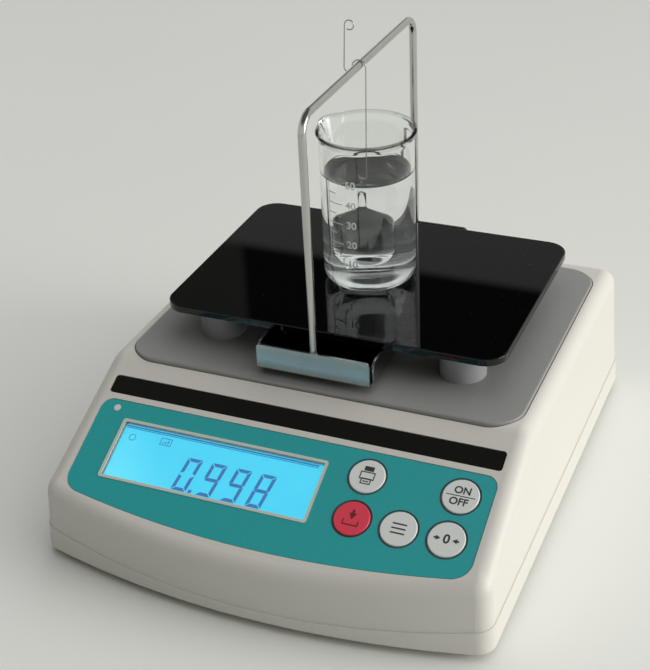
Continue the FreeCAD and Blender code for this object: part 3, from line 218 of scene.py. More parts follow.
def room_light():
    """The room as a light: bright overhead and to the right, dim at the front left. The eye, gloss and
    glass see pale walls instead, with one dark doorway behind the meter, which the plate mirrors."""
    world = bpy.data.worlds.new("room")
    world.use_nodes = True
    world.node_tree.nodes.clear()
    start = Shade(world.node_tree)
    direction = start.node("ShaderNodeTexCoord", output="Generated")

    def towards(place):
        """Cosine of the angle to a direction."""
        return direction.node("ShaderNodeVectorMath", {"operation": "DOT_PRODUCT"},
                              {0: direction, 1: Vector(place).normalized()}, output="Value")

    height = direction.node("ShaderNodeSeparateXYZ", None, {0: direction}, output=2)
    through = start.node("ShaderNodeLightPath", output="Is Transmission Ray")
    ceiling = through.between(ceiling_seen, ceiling_through_glass)
    wall = height.eased(*ceiling_height).between(wall_tone, ceiling)
    over_sill = towards((0, -sill_slope, 1)).eased(-door_edge, door_edge)
    past_side = towards((math.cos(door_side), math.sin(door_side), 0)).eased(-door_edge, door_edge)
    beside = past_side.between(beside_door_tone, doorway_tone)
    beyond = over_sill.between(over_sill_tone, beside)
    wall = towards((-toward.x, -toward.y, toward.z)).eased(*doorway_angles).between(wall, beyond)
    ray = start.node("ShaderNodeLightPath", output="Is Camera Ray")
    glossy = start.node("ShaderNodeLightPath", output="Is Glossy Ray")
    seen = start.math("MAXIMUM", start.math("MAXIMUM", ray, glossy), through)
    ambient = towards(ambient_from).eased(0.0, 1.0).between(ambient_dim, ambient_bright)
    colour = seen.between(ambient, wall)
    shader = start.node("ShaderNodeBackground", None, {"Color": colour, "Strength": 1.0})
    start.node("ShaderNodeOutputWorld", None, {"Surface": shader})
    bpy.context.scene.world = world


room_light()


# Case shells
# The lower tray and the upper shell are moulded in one warm light grey plastic with a fine
# eroded grain; the upper one carries the sloping keypad face and the seat of the platform.

def moulded(name, colour, roughness, grain_size, grain_depth, drift=0.04):
    """Moulded plastic: a fine grain, an uneven gloss and a faint drift of tone."""
    material, start = new_finish(name)
    place = start.node("ShaderNodeTexCoord", output="Object")
    grain = noise(place, grain_size, 3.0)
    cloud = noise(place, 60 * mm, 2.0)
    darker = tuple(value * (1 - drift) for value in colour)
    return surface(material, start, {
        "Base Color": cloud.between(darker, colour), "Roughness": grain * 0.14 + (roughness - 0.07),
        "Normal": relief(grain, grain_depth, 0.6)})


def dress(material, *names):
    """Give CAD nodes their finish."""
    for name in names:
        nodes[name].material_slots[0].material = material


case_colour = (0.69, 0.672, 0.615)
dress(moulded("case_plastic", case_colour, 0.42, 0.45 * mm, 0.03 * mm), "upper_housing", "lower_housing")


# Feet, inserts and case screws
# Black levelling knobs turn on brass inserts in the floor; each stands on a soft rubber sole.
# Four zinc-plated screws hold the shells together from below.

def turned_metal(name, colour, roughness, line_size, depth=0.004 * mm):
    """Bright metal with fine rings left by the tool, round Z."""
    material, start = new_finish(name)
    place = start.node("ShaderNodeTexCoord", output="Object")
    lines = place.node("ShaderNodeTexNoise", None, {
        "Vector": place.node("ShaderNodeMapping", None, {"Vector": place, "Scale": (0.15, 0.15, 1.0)}),
        "Scale": 1 / line_size, "Detail": 2.0})
    tarnish = noise(place, 6 * mm, 3.0)
    dull = tuple(value * 0.82 for value in colour)
    return surface(material, start, {
        "Base Color": tarnish.between(colour, dull), "Metallic": 1.0,
        "Roughness": lines * 0.18 + (roughness - 0.09), "Normal": relief(lines, depth)})


feet = ["front_left", "front_right", "rear_left", "rear_right"]
dress(moulded("knob_plastic", (0.035, 0.035, 0.036), 0.45, 0.4 * mm, 0.02 * mm),
      *["foot_" + foot for foot in feet])
dress(moulded("sole_rubber", (0.025, 0.025, 0.025), 0.8, 0.7 * mm, 0.03 * mm),
      *["foot_sole_" + foot for foot in feet])
dress(turned_metal("insert_brass", (0.72, 0.55, 0.25), 0.35, 0.3 * mm), "foot_inserts", "overload_stop")
plated = turned_metal("plated_screw", (0.62, 0.62, 0.60), 0.35, 0.3 * mm)
dress(plated, "housing_screws", "post_screws", "load_cell_screws", "front_board_screws",
      "main_board_screws", "spindle_screw", "weigh_spindle")


# Weighing cell
# A milled aluminium bar on a spacer, with sealed strain gauges and a grey lead; an arm on its
# free end carries the spindle that comes up through the platform.

def milled_aluminium():
    """Aluminium with the straight passes of a milling cutter."""
    material, start = new_finish("milled_aluminium")
    place = start.node("ShaderNodeTexCoord", output="Object")
    passes = place.node("ShaderNodeTexWave", {"bands_direction": "X"},
                        {"Vector": place, "Scale": 120.0, "Distortion": 1.5, "Detail": 2.0})
    return surface(material, start, {
        "Base Color": passes.between((0.72, 0.73, 0.74), (0.80, 0.80, 0.81)), "Metallic": 1.0,
        "Roughness": passes * 0.12 + 0.28, "Normal": relief(passes, 0.01 * mm)})


dress(milled_aluminium(), "load_cell", "load_cell_spacer", "spindle_arm", "tray_hub")
dress(moulded("gauge_sealant", (0.66, 0.62, 0.50), 0.55, 1.2 * mm, 0.08 * mm), "strain_gauges")
dress(moulded("lead_jacket", (0.20, 0.205, 0.21), 0.5, 0.5 * mm, 0.02 * mm), "load_cell_lead")
dress(moulded("flat_lead", (0.50, 0.50, 0.51), 0.5, 0.5 * mm, 0.02 * mm), "display_ribbon")


# Circuit boards
# Green glass-fibre boards with copper tracks under the mask, black moulded parts, a tinned
# shield over the converter and white plug housings.

def board_mask():
    """Green solder mask; tracks below it show as lighter bands."""
    material, start = new_finish("board_mask")
    place = start.node("ShaderNodeTexCoord", output="Object")
    tracks = place.node("ShaderNodeTexBrick", None, {
        "Vector": place, "Color1": (0.012, 0.13, 0.045, 1), "Color2": (0.010, 0.11, 0.040, 1),
        "Mortar": (0.03, 0.24, 0.09, 1), "Scale": 90.0, "Mortar Size": 0.05})
    weave = noise(place, 0.6 * mm, 2.0)
    return surface(material, start, {"Base Color": tracks, "Roughness": weave * 0.1 + 0.25,
                                     "Normal": relief(weave, 0.01 * mm)})


dress(board_mask(), "front_board", "main_board")
dress(moulded("part_black", (0.02, 0.02, 0.021), 0.5, 0.3 * mm, 0.01 * mm),
      "board_parts", "buzzer", "key_switches")
dress(moulded("plug_nylon", (0.74, 0.72, 0.66), 0.45, 0.4 * mm, 0.01 * mm), "lead_plugs")
dress(turned_metal("tinned_sheet", (0.66, 0.67, 0.66), 0.38, 0.5 * mm), "signal_shield", "serial_port")


# Rear sockets
# A black power inlet and a tinned serial shell with its two hexagon posts, in a bay of the
# rear wall.

dress(moulded("socket_black", (0.022, 0.022, 0.023), 0.4, 0.3 * mm, 0.01 * mm), "dc_socket")
dress(plated, "jack_posts")


# Keypad film and title strip
# A teal printed film with a matt lacquer lies in a shallow recess of the sloping face. The
# strip above it is black and bare.

def printed_film(name, colour, roughness, flecks, gloss=0.5):
    """Screen-printed film: flat ink with faint flecks under a matt lacquer."""
    material, start = new_finish(name)
    place = start.node("ShaderNodeTexCoord", output="Object")
    lacquer = noise(place, 0.25 * mm, 2.0)
    ink = noise(place, 2.2 * mm, 4.0, 0.65)
    thin = tuple(value + (1 - value) * flecks for value in colour)
    return surface(material, start, {
        "Base Color": ink.between(colour, thin), "Roughness": lacquer * 0.16 + (roughness - 0.08),
        "Specular IOR Level": gloss, "Normal": relief(lacquer, 0.006 * mm)})


dress(printed_film("teal_film", (0.004, 0.375, 0.385), 0.42, 0.02), "keypad_overlay")
dress(printed_film("black_strip", (0.006, 0.006, 0.005), 0.38, 0.005, 0.15), "name_strip")

keypad_slope = math.radians(25)
slope_turn = Matrix.Rotation(keypad_slope, 3, "X")
crease = Vector((0, -33.65, 61.7)) * mm


def on_keypad(across, down, height):
    """A place on the keypad face, in millimetres across it, down from its top crease and above it."""
    return crease + slope_turn @ (Vector((across, -down, height)) * mm)


def height_above_keypad(node):
    """How far a CAD node reaches above the keypad face, in millimetres."""
    outward = slope_turn @ Vector((0, 0, 1))
    return max((vertex.co - crease).dot(outward) for vertex in nodes[node].data.vertices) / mm


# Display
# A backlit liquid crystal panel under a clear sheet, inside a pale frame. Four slanted seven-bar
# digits show a plain reading, with a ring, a small boxed sign and two fine lines above them.

digit_left = -39.7
digit_pitch = 10.72
digit_width = 6.6
digit_top = 42.0
digit_bottom = 56.9
digit_bar = 1.45
digit_gap = 0.28
digit_slant = 0.14
point_gap = 0.9
reading = "0998"
bars_lit = {"0": "abcdef", "8": "abcdefg", "9": "abcdfg"}
ring_across = -64.9
ring_down = 38.5
ring_radius = 1.5
sign_across = -49.9
sign_down = 37.5
sign_width = 5.0
sign_height = 3.3
level_pitch = 1.1
level_half = 0.25
level_foot = 0.9
level_step = 0.6
fine_line = 0.3
edge_left = -69.4
edge_right = 15.6
edge_lines = [(33.4, 33.95), (34.3, 34.6)]
ink_gap = 0.03
ink_thickness = 0.05


def backlit_panel():
    """Cyan backlight, brighter towards its lower left corner."""
    material, start = new_finish("backlit_panel")
    place = start.node("ShaderNodeTexCoord", output="Object")
    across = place.node("ShaderNodeSeparateXYZ", None, {0: place}, output=0)
    back = place.node("ShaderNodeSeparateXYZ", None, {0: place}, output=1)
    past_corner = (across * 0.9 + back).eased(-0.155, -0.110)
    blot = noise(place, 9 * mm, 3.0)
    tone = past_corner.between((0.13, 0.80, 0.98), (0.022, 0.64, 0.90))
    deeper = past_corner.between((0.09, 0.74, 0.95), (0.014, 0.58, 0.86))
    glow = blot.between(deeper, tone)
    return surface(material, start, {"Base Color": (0.02, 0.12, 0.16, 1), "Roughness": 0.3,
                                     "Emission Color": glow, "Emission Strength": 0.96})


def clear_sheet():
    """Thin polished window."""
    material, start = new_finish("clear_sheet")
    place = start.node("ShaderNodeTexCoord", output="Object")
    haze = noise(place, 12 * mm, 3.0)
    return surface(material, start, {"Base Color": (1, 1, 1, 1), "Roughness": haze * 0.03,
                                     "IOR": 1.45, "Transmission Weight": 1.0})


dress(backlit_panel(), "lcd_panel")
dress(moulded("backlight_body", (0.75, 0.85, 0.86), 0.5, 0.5 * mm, 0.01 * mm), "lcd_backlight")
dress(clear_sheet(), "display_window")
dress(moulded("frame_plastic", (0.62, 0.66, 0.60), 0.35, 0.3 * mm, 0.01 * mm), "window_border")
dress(moulded("light_pipe", (0.72, 0.76, 0.72), 0.3, 0.4 * mm, 0.01 * mm), "indicator_lens", "indicator_led")

ink_height = height_above_keypad("lcd_panel") + ink_gap
sight = slope_turn.transposed() @ toward
ink_across = sight.x / sight.z * ink_height
ink_down = -sight.y / sight.z * ink_height


def joined_mesh(name, outlines, thickness, place):
    """Thin plates from flat outlines in millimetres; place turns a point of them into metres."""
    shape = bmesh.new()
    for outline in outlines:
        low = [shape.verts.new(place(x, y, 0.0)) for x, y in outline]
        high = [shape.verts.new(place(x, y, thickness)) for x, y in outline]
        shape.faces.new(high)
        shape.faces.new(low[::-1])
        for step in range(len(outline)):
            after = (step + 1) % len(outline)
            shape.faces.new((low[step], low[after], high[after], high[step]))
    bmesh.ops.recalc_face_normals(shape, faces=shape.faces)
    mesh = bpy.data.meshes.new(name)
    shape.to_mesh(mesh)
    shape.free()
    return mesh


def piece(name, mesh, material, body):
    """Link a finished mesh as a piece that rides on a body."""
    made = bpy.data.objects.new(name, mesh)
    mesh.materials.clear()
    mesh.materials.append(material)
    bpy.context.scene.collection.objects.link(made)
    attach(made, body)
    return made


def ring_outlines(x, y, radius, width, steps=32):
    """Short plates that make a ring."""
    plates = []
    for step in range(steps):
        a = 2 * math.pi * step / steps
        b = 2 * math.pi * (step + 1) / steps
        plates.append([(x + math.cos(a) * (radius - width), y + math.sin(a) * (radius - width)),
                       (x + math.cos(a) * radius, y + math.sin(a) * radius),
                       (x + math.cos(b) * radius, y + math.sin(b) * radius),
                       (x + math.cos(b) * (radius - width), y + math.sin(b) * (radius - width))])
    return plates


def bar_outline(x_low, x_high, y_low, y_high):
    """A box in a flat drawing."""
    return [(x_low, y_low), (x_high, y_low), (x_high, y_high), (x_low, y_high)]


def frame_outlines(x, y, width, height, line):
    """Four bars round a box."""
    left, right = x - width / 2, x + width / 2
    low, high = y - height / 2, y + height / 2
    return [bar_outline(left, right, low, low + line), bar_outline(left, right, high - line, high),
            bar_outline(left, left + line, low + line, high - line),
            bar_outline(right - line, right, low + line, high - line)]


def digit_bars(digit, left):
    """Outlines of the lit bars of one digit, upright, measured down the face."""
    right = left + digit_width
    middle = (digit_top + digit_bottom) / 2
    half = digit_bar / 2
    ends = {"a": ((left, digit_top), (right, digit_top)), "g": ((left, middle), (right, middle)),
            "d": ((left, digit_bottom), (right, digit_bottom)),
            "f": ((left, digit_top), (left, middle)), "b": ((right, digit_top), (right, middle)),
            "e": ((left, middle), (left, digit_bottom)), "c": ((right, middle), (right, digit_bottom))}
    inset = {"a": half, "d": -half, "g": 0, "f": half, "e": half, "b": -half, "c": -half}
    outlines = []
    for name in bars_lit[digit]:
        (x0, y0), (x1, y1) = ends[name]
        if y0 == y1:
            y = y0 + inset[name]
            a, b = x0 + digit_gap, x1 - digit_gap
            if name == "g":
                outlines.append([(a, y), (a + half, y - half), (b - half, y - half), (b, y),
                                 (b - half, y + half), (a + half, y + half)])
            else:
                far = digit_bar if name == "a" else -digit_bar
                outlines.append([(a, y0), (b, y0), (b - digit_bar, y0 + far), (a + digit_bar, y0 + far)])
        else:
            far = digit_bar if x0 == left else -digit_bar
            a, b = y0 + digit_gap, y1 - digit_gap
            if name in "fb":
                outlines.append([(x0, a), (x0 + far, a + digit_bar), (x0 + far, b - half), (x0, b)])
            else:
                outlines.append([(x0, a), (x0 + far, a + half), (x0 + far, b - digit_bar), (x0, b)])
    return outlines


def reading_outlines():
    """All the ink of the display, in places across and down the face."""
    outlines = []
    for place, digit in enumerate(reading):
        outlines += digit_bars(digit, digit_left + place * digit_pitch)
    point = digit_left + digit_width + point_gap
    outlines.append(bar_outline(point, point + digit_bar, digit_bottom - digit_bar, digit_bottom))
    slanted = [[(x + (digit_bottom - y) * digit_slant, y) for x, y in outline] for outline in outlines]
    slanted += [bar_outline(edge_left, edge_right, low, high) for low, high in edge_lines]
    slanted += ring_outlines(ring_across, ring_down, ring_radius, fine_line)
    slanted += frame_outlines(sign_across, sign_down, sign_width, sign_height, fine_line)
    for step in range(3):
        x = sign_across + (step - 1) * level_pitch
        foot = sign_down + level_foot
        slanted.append(bar_outline(x - level_half, x + level_half, foot - level_step * (step + 1), foot))
    return slanted


def display_ink():
    """Dark blue crystal, lit a little from behind."""
    material, start = new_finish("display_ink")
    place = start.node("ShaderNodeTexCoord", output="Object")
    mottle = noise(place, 0.8 * mm, 2.0)
    glow = mottle.between((0.0, 0.10, 0.36), (0.002, 0.135, 0.43))
    return surface(material, start, {"Base Color": (0.01, 0.08, 0.2, 1), "Roughness": 0.4,
                                     "Emission Color": glow, "Emission Strength": 0.75})


piece("display_reading",
      joined_mesh("display_reading", reading_outlines(), ink_thickness,
                  lambda x, y, z: on_keypad(x + ink_across, y + ink_down, ink_height + z)),
      display_ink(), "case")


# Keys
# Five round printed keys, flush in the film, which has a dark ring printed round each. A key carries
# a plain sign: a printer, a memory arrow, a list, the words of a switch, or a nought between arrows.

key_places = {"print_key": (35.1, 33.1), "memory_key": (35.1, 51.4), "function_key": (53.7, 51.4),
              "power_key": (72.3, 33.1), "zero_key": (72.3, 51.4)}
key_ring_radius = 7.9
key_ring_width = 0.38
key_ring_steps = 48
key_white = (0.76, 0.78, 0.75)
key_red = (0.82, 0.04, 0.085)
sign_thickness = 0.04
sign_line = 0.45
switch_letters = 2.9
nought_height = 3.6
print_gap = 0.01
capital_share = 0.7
stroke_gain = 0.035
dress(printed_film("white_key", key_white, 0.40, 0.02), "print_key", "function_key", "power_key", "zero_key")
dress(printed_film("red_key", key_red, 0.40, 0.02), "memory_key")


def letters(words, height):
    """Triangles of plain lettering, centred, in millimetres."""
    curve = bpy.data.curves.new(words, "FONT")
    curve.body = words
    curve.size = height / capital_share
    curve.align_x = "CENTER"
    curve.align_y = "CENTER"
    curve.offset = height * stroke_gain
    holder = bpy.data.objects.new(words, curve)
    mesh = bpy.data.meshes.new_from_object(holder)
    outlines = [[tuple(mesh.vertices[v].co[:2]) for v in face.vertices] for face in mesh.polygons]
    bpy.data.objects.remove(holder)
    bpy.data.meshes.remove(mesh)
    return outlines


def moved(outlines, x, y):
    """The same outlines at another place."""
    return [[(px + x, py + y) for px, py in outline] for outline in outlines]


def arrow(x, y, length, width, turn):
    """A solid arrow centred on a place, pointing along +X before its turn in degrees."""
    head = width * 0.9
    points = [(length / 2, 0), (length / 2 - head, width / 2), (length / 2 - head, width * 0.16),
              (-length / 2, width * 0.16), (-length / 2, -width * 0.16),
              (length / 2 - head, -width * 0.16), (length / 2 - head, -width / 2)]
    c, s = math.cos(math.radians(turn)), math.sin(math.radians(turn))
    return [(x + px * c - py * s, y + px * s + py * c) for px, py in points]


key_signs = {
    "print_key": [*frame_outlines(0, 0.2, 6.0, 3.4, sign_line), bar_outline(-1.9, 1.9, 2.2, 4.2),
                  *frame_outlines(0, -2.2, 4.2, 2.6, sign_line), bar_outline(-1.2, 1.2, -2.5, -2.05)],
    "memory_key": [arrow(0, 1.5, 4.2, 3.0, -90), bar_outline(-3.2, 3.2, -3.1, -2.6),
                   bar_outline(-3.2, -2.7, -2.6, -0.9), bar_outline(2.7, 3.2, -2.6, -0.9)],
    "function_key": [bar_outline(-2.8, 2.8, y - 0.3, y + 0.3) for y in (1.9, 0, -1.9)],
    "power_key": [*moved(letters("ON", switch_letters), 0.2, 2.3),
                  *moved(letters("OFF", switch_letters), -0.2, -2.5), bar_outline(-5.6, 5.6, -0.18, 0.18)],
    "zero_key": [*letters("0", nought_height), arrow(-3.6, 0, 2.6, 2.0, 0), arrow(3.6, 0, 2.6, 2.0, 180)],
}


def sign_ink(name, colour):
    """Dark screen ink, a little broken at its edges."""
    material, start = new_finish(name)
    place = start.node("ShaderNodeTexCoord", output="Object")
    broken = noise(place, 0.4 * mm, 2.0)
    paler = tuple(value * 1.6 for value in colour)
    return surface(material, start, {"Base Color": broken.between(colour, paler), "Roughness": 0.5})


dark_ink = sign_ink("dark_ink", (0.035, 0.033, 0.037))
red_ink = sign_ink("deep_red_ink", (0.13, 0.008, 0.012))
for key, (across, down) in key_places.items():
    top = height_above_keypad(key)
    mesh = joined_mesh(key + "_sign", key_signs[key], sign_thickness,
                       lambda x, y, z: on_keypad(across + x, down - y, top + z))
    piece(key + "_sign", mesh, red_ink if key == "memory_key" else dark_ink, key)
film_top = height_above_keypad("keypad_overlay") + print_gap
rings = [plate for across, down in key_places.values()
         for plate in ring_outlines(across, down, key_ring_radius, key_ring_width, key_ring_steps)]
piece("key_rings", joined_mesh("key_rings", rings, sign_thickness,
                               lambda x, y, z: on_keypad(x, y, film_top + z)), dark_ink, "case")


# Platform, posts and beaker plate
# A satin grey painted steel platform lies in the dished roof. Four plastic posts with rubber
# pads carry a gloss black plate that bridges the tray without touching it.

def satin_paint():
    """Grey stove enamel with a fine orange peel and faint rub marks."""
    material, start = new_finish("satin_paint")
    place = start.node("ShaderNodeTexCoord", output="Object")
    peel = noise(place, 0.8 * mm, 2.0)
    speck = noise(place, 0.35 * mm, 1.0)
    rub = noise(place, 30 * mm, 4.0, 0.6)
    tone = speck.between((0.262, 0.265, 0.254), (0.300, 0.303, 0.291))
    return surface(material, start, {"Base Color": tone, "Roughness": rub * 0.12 + 0.34,
                                     "Normal": relief(peel, 0.02 * mm, 0.5)})


def black_gloss():
    """Polished black sheet with a little dust and wiping marks."""
    material, start = new_finish("black_gloss")
    place = start.node("ShaderNodeTexCoord", output="Object")
    dust = noise(place, 0.9 * mm, 1.0, 0.4).eased(0.78, 0.84)
    wipe = noise(place, 25 * mm, 4.0, 0.6)
    return surface(material, start, {
        "Base Color": (dust * 0.25).between((0.002, 0.002, 0.0021), (0.45, 0.45, 0.43)),
        "Roughness": wipe * 0.02 + 0.005, "IOR": 1.42})


dress(satin_paint(), "platform")
dress(moulded("post_plastic", (0.35, 0.36, 0.365), 0.38, 0.4 * mm, 0.015 * mm), "plate_posts")
dress(moulded("pad_rubber", (0.03, 0.03, 0.03), 0.8, 0.6 * mm, 0.02 * mm), "post_pads")
dress(black_gloss(), "beaker_plate")


# Weighing tray and rod frame
# The tray is one folded strip of brushed stainless sheet. A polished stainless rod, bent into
# a gate, stands in it and carries the hanger.

def brushed_steel(name, colour, along, roughness, depth):
    """Stainless steel with long brush lines; along is the stretch of the lines in X, Y and Z."""
    material, start = new_finish(name)
    place = start.node("ShaderNodeTexCoord", output="Object")
    stretched = place.node("ShaderNodeMapping", None, {"Vector": place, "Scale": along})
    lines = noise(stretched, 1.0, 3.0, 0.6)
    smear = noise(place, 9 * mm, 3.0)
    dull = tuple(value * 0.86 for value in colour)
    return surface(material, start, {
        "Base Color": smear.between(colour, dull), "Metallic": 1.0,
        "Roughness": lines * 0.16 + (roughness - 0.08), "Normal": relief(lines, depth)})


dress(brushed_steel("tray_steel", (0.44, 0.46, 0.46), (60, 3000, 3000), 0.15, 0.002 * mm),
      "weigh_tray")
dress(brushed_steel("rod_steel", (0.55, 0.54, 0.52), (900, 900, 60), 0.14, 0.002 * mm),
      "hanger_frame")
dress(brushed_steel("wire_steel", (0.42, 0.41, 0.40), (900, 900, 200), 0.30, 0.002 * mm),
      "hanger_wire", "tray_screws")


# Beaker
# A borosilicate beaker: turned wall, flared and fire-polished rim with a pouring spout, and a
# flat foot. Its marks and figures are white enamel, fired on the outside.

beaker_low, beaker_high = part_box("beaker")
beaker_axis = Vector((0.2 * mm, 32.2 * mm, beaker_low.z))
beaker_height = (beaker_high.z - beaker_low.z) / mm
beaker_radius = 19.7
beaker_wall = 1.5
beaker_floor = 2.0
foot_rounding = 5.5
rim_radius = 21.4
flare_height = 4.0
flare_curve = 1.6
wall_rows = 26
rim_round = 0.75
spout_turn = math.radians(163)
spout_reach = 23.4
spout_radius = 9.0
spout_depth = 11.0
spout_tip = 0.4
spout_blend = 0.8
glass_steps = 240
# The top of the rim is partly see-through without bending the light, so it reads paler: painted light that
# stands in for the bright room a real rim refracts.
pale_lip_depth = 1.6
lip_fade = 0.5 * mm
pale_lip_share = 0.75
underside = [(0, 0.35, 0.0), (11.0, 0.3, 0.0), (13.2, 0.05, 0.0)]


def clear_glass(name, index, tint, shadow, pale_above=None):
    """Clear glass; only a little of its shadow is kept, as real glass lets the light through. Above
    a chosen height a share of it lets what is behind it straight through: painted paleness for a bright rim."""
    material, start = new_finish(name)
    place = start.node("ShaderNodeTexCoord", output="Object")
    film = noise(place, 7 * mm, 3.0)
    glass = start.node("ShaderNodeBsdfPrincipled", None, {
        "Base Color": (*tint, 1.0), "Roughness": film * 0.012, "IOR": index,
        "Transmission Weight": 1.0})
    clear = start.node("ShaderNodeBsdfTransparent", None, {"Color": (*shadow, 1.0)})
    share = start.node("ShaderNodeLightPath", output="Is Shadow Ray")
    # Painted paleness: above this height a share of the glass shows what is behind it straight through.
    if pale_above is not None:
        height = place.node("ShaderNodeSeparateXYZ", None, {0: place}, output=2)
        lip = height.eased(pale_above, pale_above + lip_fade) * pale_lip_share
        share = start.math("MAXIMUM", share, lip)
    shown = start.node("ShaderNodeMixShader", None, {0: share, 1: glass, 2: clear})
    start.node("ShaderNodeOutputMaterial", None, {"Surface": shown})
    return material


def arc_points(x, z, radius, start, end, steps):
    """Points of an arc in a profile, between two angles in degrees."""
    turns = [math.radians(start + (end - start) * step / steps) for step in range(steps + 1)]
    return [(x + radius * math.cos(turn), z + radius * math.sin(turn)) for turn in turns]


def wall_profile(inset, floor):
    """Half section of the beaker's wall, from the foot up to where the rim is rounded."""
    radius = beaker_radius - inset
    rounding = foot_rounding - inset
    points = arc_points(radius - rounding, floor + rounding, rounding, -90, 0, 10)
    flare_low = beaker_height - flare_height
    straight = flare_low - spout_depth
    points.append((radius, straight))
    for row in range(1, wall_rows + 1):
        z = straight + (beaker_height - rim_round - straight) * row / wall_rows
        share = max(0.0, (z - flare_low) / flare_height)
        points.append((radius + (rim_radius - beaker_radius) * share ** flare_curve, z))
    return points


def spout_at(inset, turn, z):
    """How far the spout reaches from the beaker's axis, in one direction and at one height."""
    share = (z - (beaker_height - spout_depth)) / spout_depth
    if share <= 0:
        return 0.0
    ring = spout_tip + (spout_radius - inset - spout_tip) * share
    middle = (beaker_radius - inset - spout_tip) * (1 - share) + (spout_reach - spout_radius) * share
    side = middle * math.sin(turn - spout_turn)
    if math.cos(turn - spout_turn) < 0 or abs(side) >= ring:
        return 0.0
    return middle * math.cos(turn - spout_turn) + math.sqrt(ring * ring - side * side)


def softly_larger(first, second, blend):
    """The larger of two values, with a soft change from one to the other."""
    share = max(0.0, blend - abs(first - second)) / blend
    return max(first, second) + share * share * blend / 4


def turned_mesh(name, profile, steps, reach=None):
    """Turn a profile of (radius, height) round Z; a point on the axis closes it there."""
    shape = bmesh.new()
    rings = []
    for radius, z, *side in profile:
        if radius == 0:
            rings.append([shape.verts.new((0, 0, z * mm))])
            continue
        ring = []
        for step in range(steps):
            turn = 2 * math.pi * step / steps
            far = reach(turn, radius, z, side) if reach else radius
            ring.append(shape.verts.new((far * math.cos(turn) * mm, far * math.sin(turn) * mm, z * mm)))
        rings.append(ring)
    for low, high in zip(rings, rings[1:]):
        for step in range(steps):
            after = (step + 1) % steps
            corners = [low[step % len(low)], low[after % len(low)], high[after % len(high)],
                       high[step % len(high)]]
            shape.faces.new(list(dict.fromkeys(corners)))
    bmesh.ops.recalc_face_normals(shape, faces=shape.faces)
    mesh = bpy.data.meshes.new(name)
    shape.to_mesh(mesh)
    shape.free()
    for face in mesh.polygons:
        face.use_smooth = True
    return mesh


def beaker_mesh():
    """Outside wall, fire-polished rim, inside wall and floor, as one closed skin."""
    outside = [(x, z, 0.0) for x, z in wall_profile(0, 0)]
    inside = [(x, z, beaker_wall) for x, z in wall_profile(beaker_wall, beaker_floor)]
    rim_x = (outside[-1][0] + inside[-1][0]) / 2
    rim = [(x, z, (outside[-1][0] - x) / (outside[-1][0] - inside[-1][0]) * beaker_wall)
           for x, z in arc_points(rim_x, beaker_height - rim_round, rim_round, 0, 180, 8)][1:-1]
    profile = [*underside, *outside, *rim, *inside[::-1], (0, beaker_floor, beaker_wall)]

    def reach(turn, radius, z, side):
        spout = spout_at(side[0], turn, min(z, beaker_height - rim_round))
        return softly_larger(radius, spout, spout_blend) if spout else radius

    return turned_mesh("beaker_glass", profile, glass_steps, reach)


glass_mesh = beaker_mesh()
glass_mesh.transform(Matrix.Translation(beaker_axis))
beaker_clear = clear_glass("beaker_clear", 1.47, (0.985, 0.995, 0.99), (0.86, 0.88, 0.87),
                           beaker_high.z - pale_lip_depth * mm)
beaker_glass = piece("beaker_glass", glass_mesh, beaker_clear, "beaker")
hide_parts("beaker")

mark_first = 14.3
mark_step = 4.46
mark_count = 9
mark_side = math.radians(-121)
mark_long = math.radians(20)
mark_short = math.radians(11)
mark_width = 0.42
mark_thickness = 0.08
mark_out = 0.03
figure_turn = math.radians(-89.5)
figure_height = 3.1
figure_count = 5
figure_thickness = 0.05
figure_out = 0.02
upright_half = 0.2


def white_enamel():
    """Fired white enamel, slightly rough."""
    material, start = new_finish("white_enamel")
    place = start.node("ShaderNodeTexCoord", output="Object")
    fired = noise(place, 0.5 * mm, 2.0)
    return surface(material, start, {"Base Color": fired.between((0.80, 0.80, 0.78), (0.92, 0.92, 0.90)),
                                     "Roughness": 0.5})


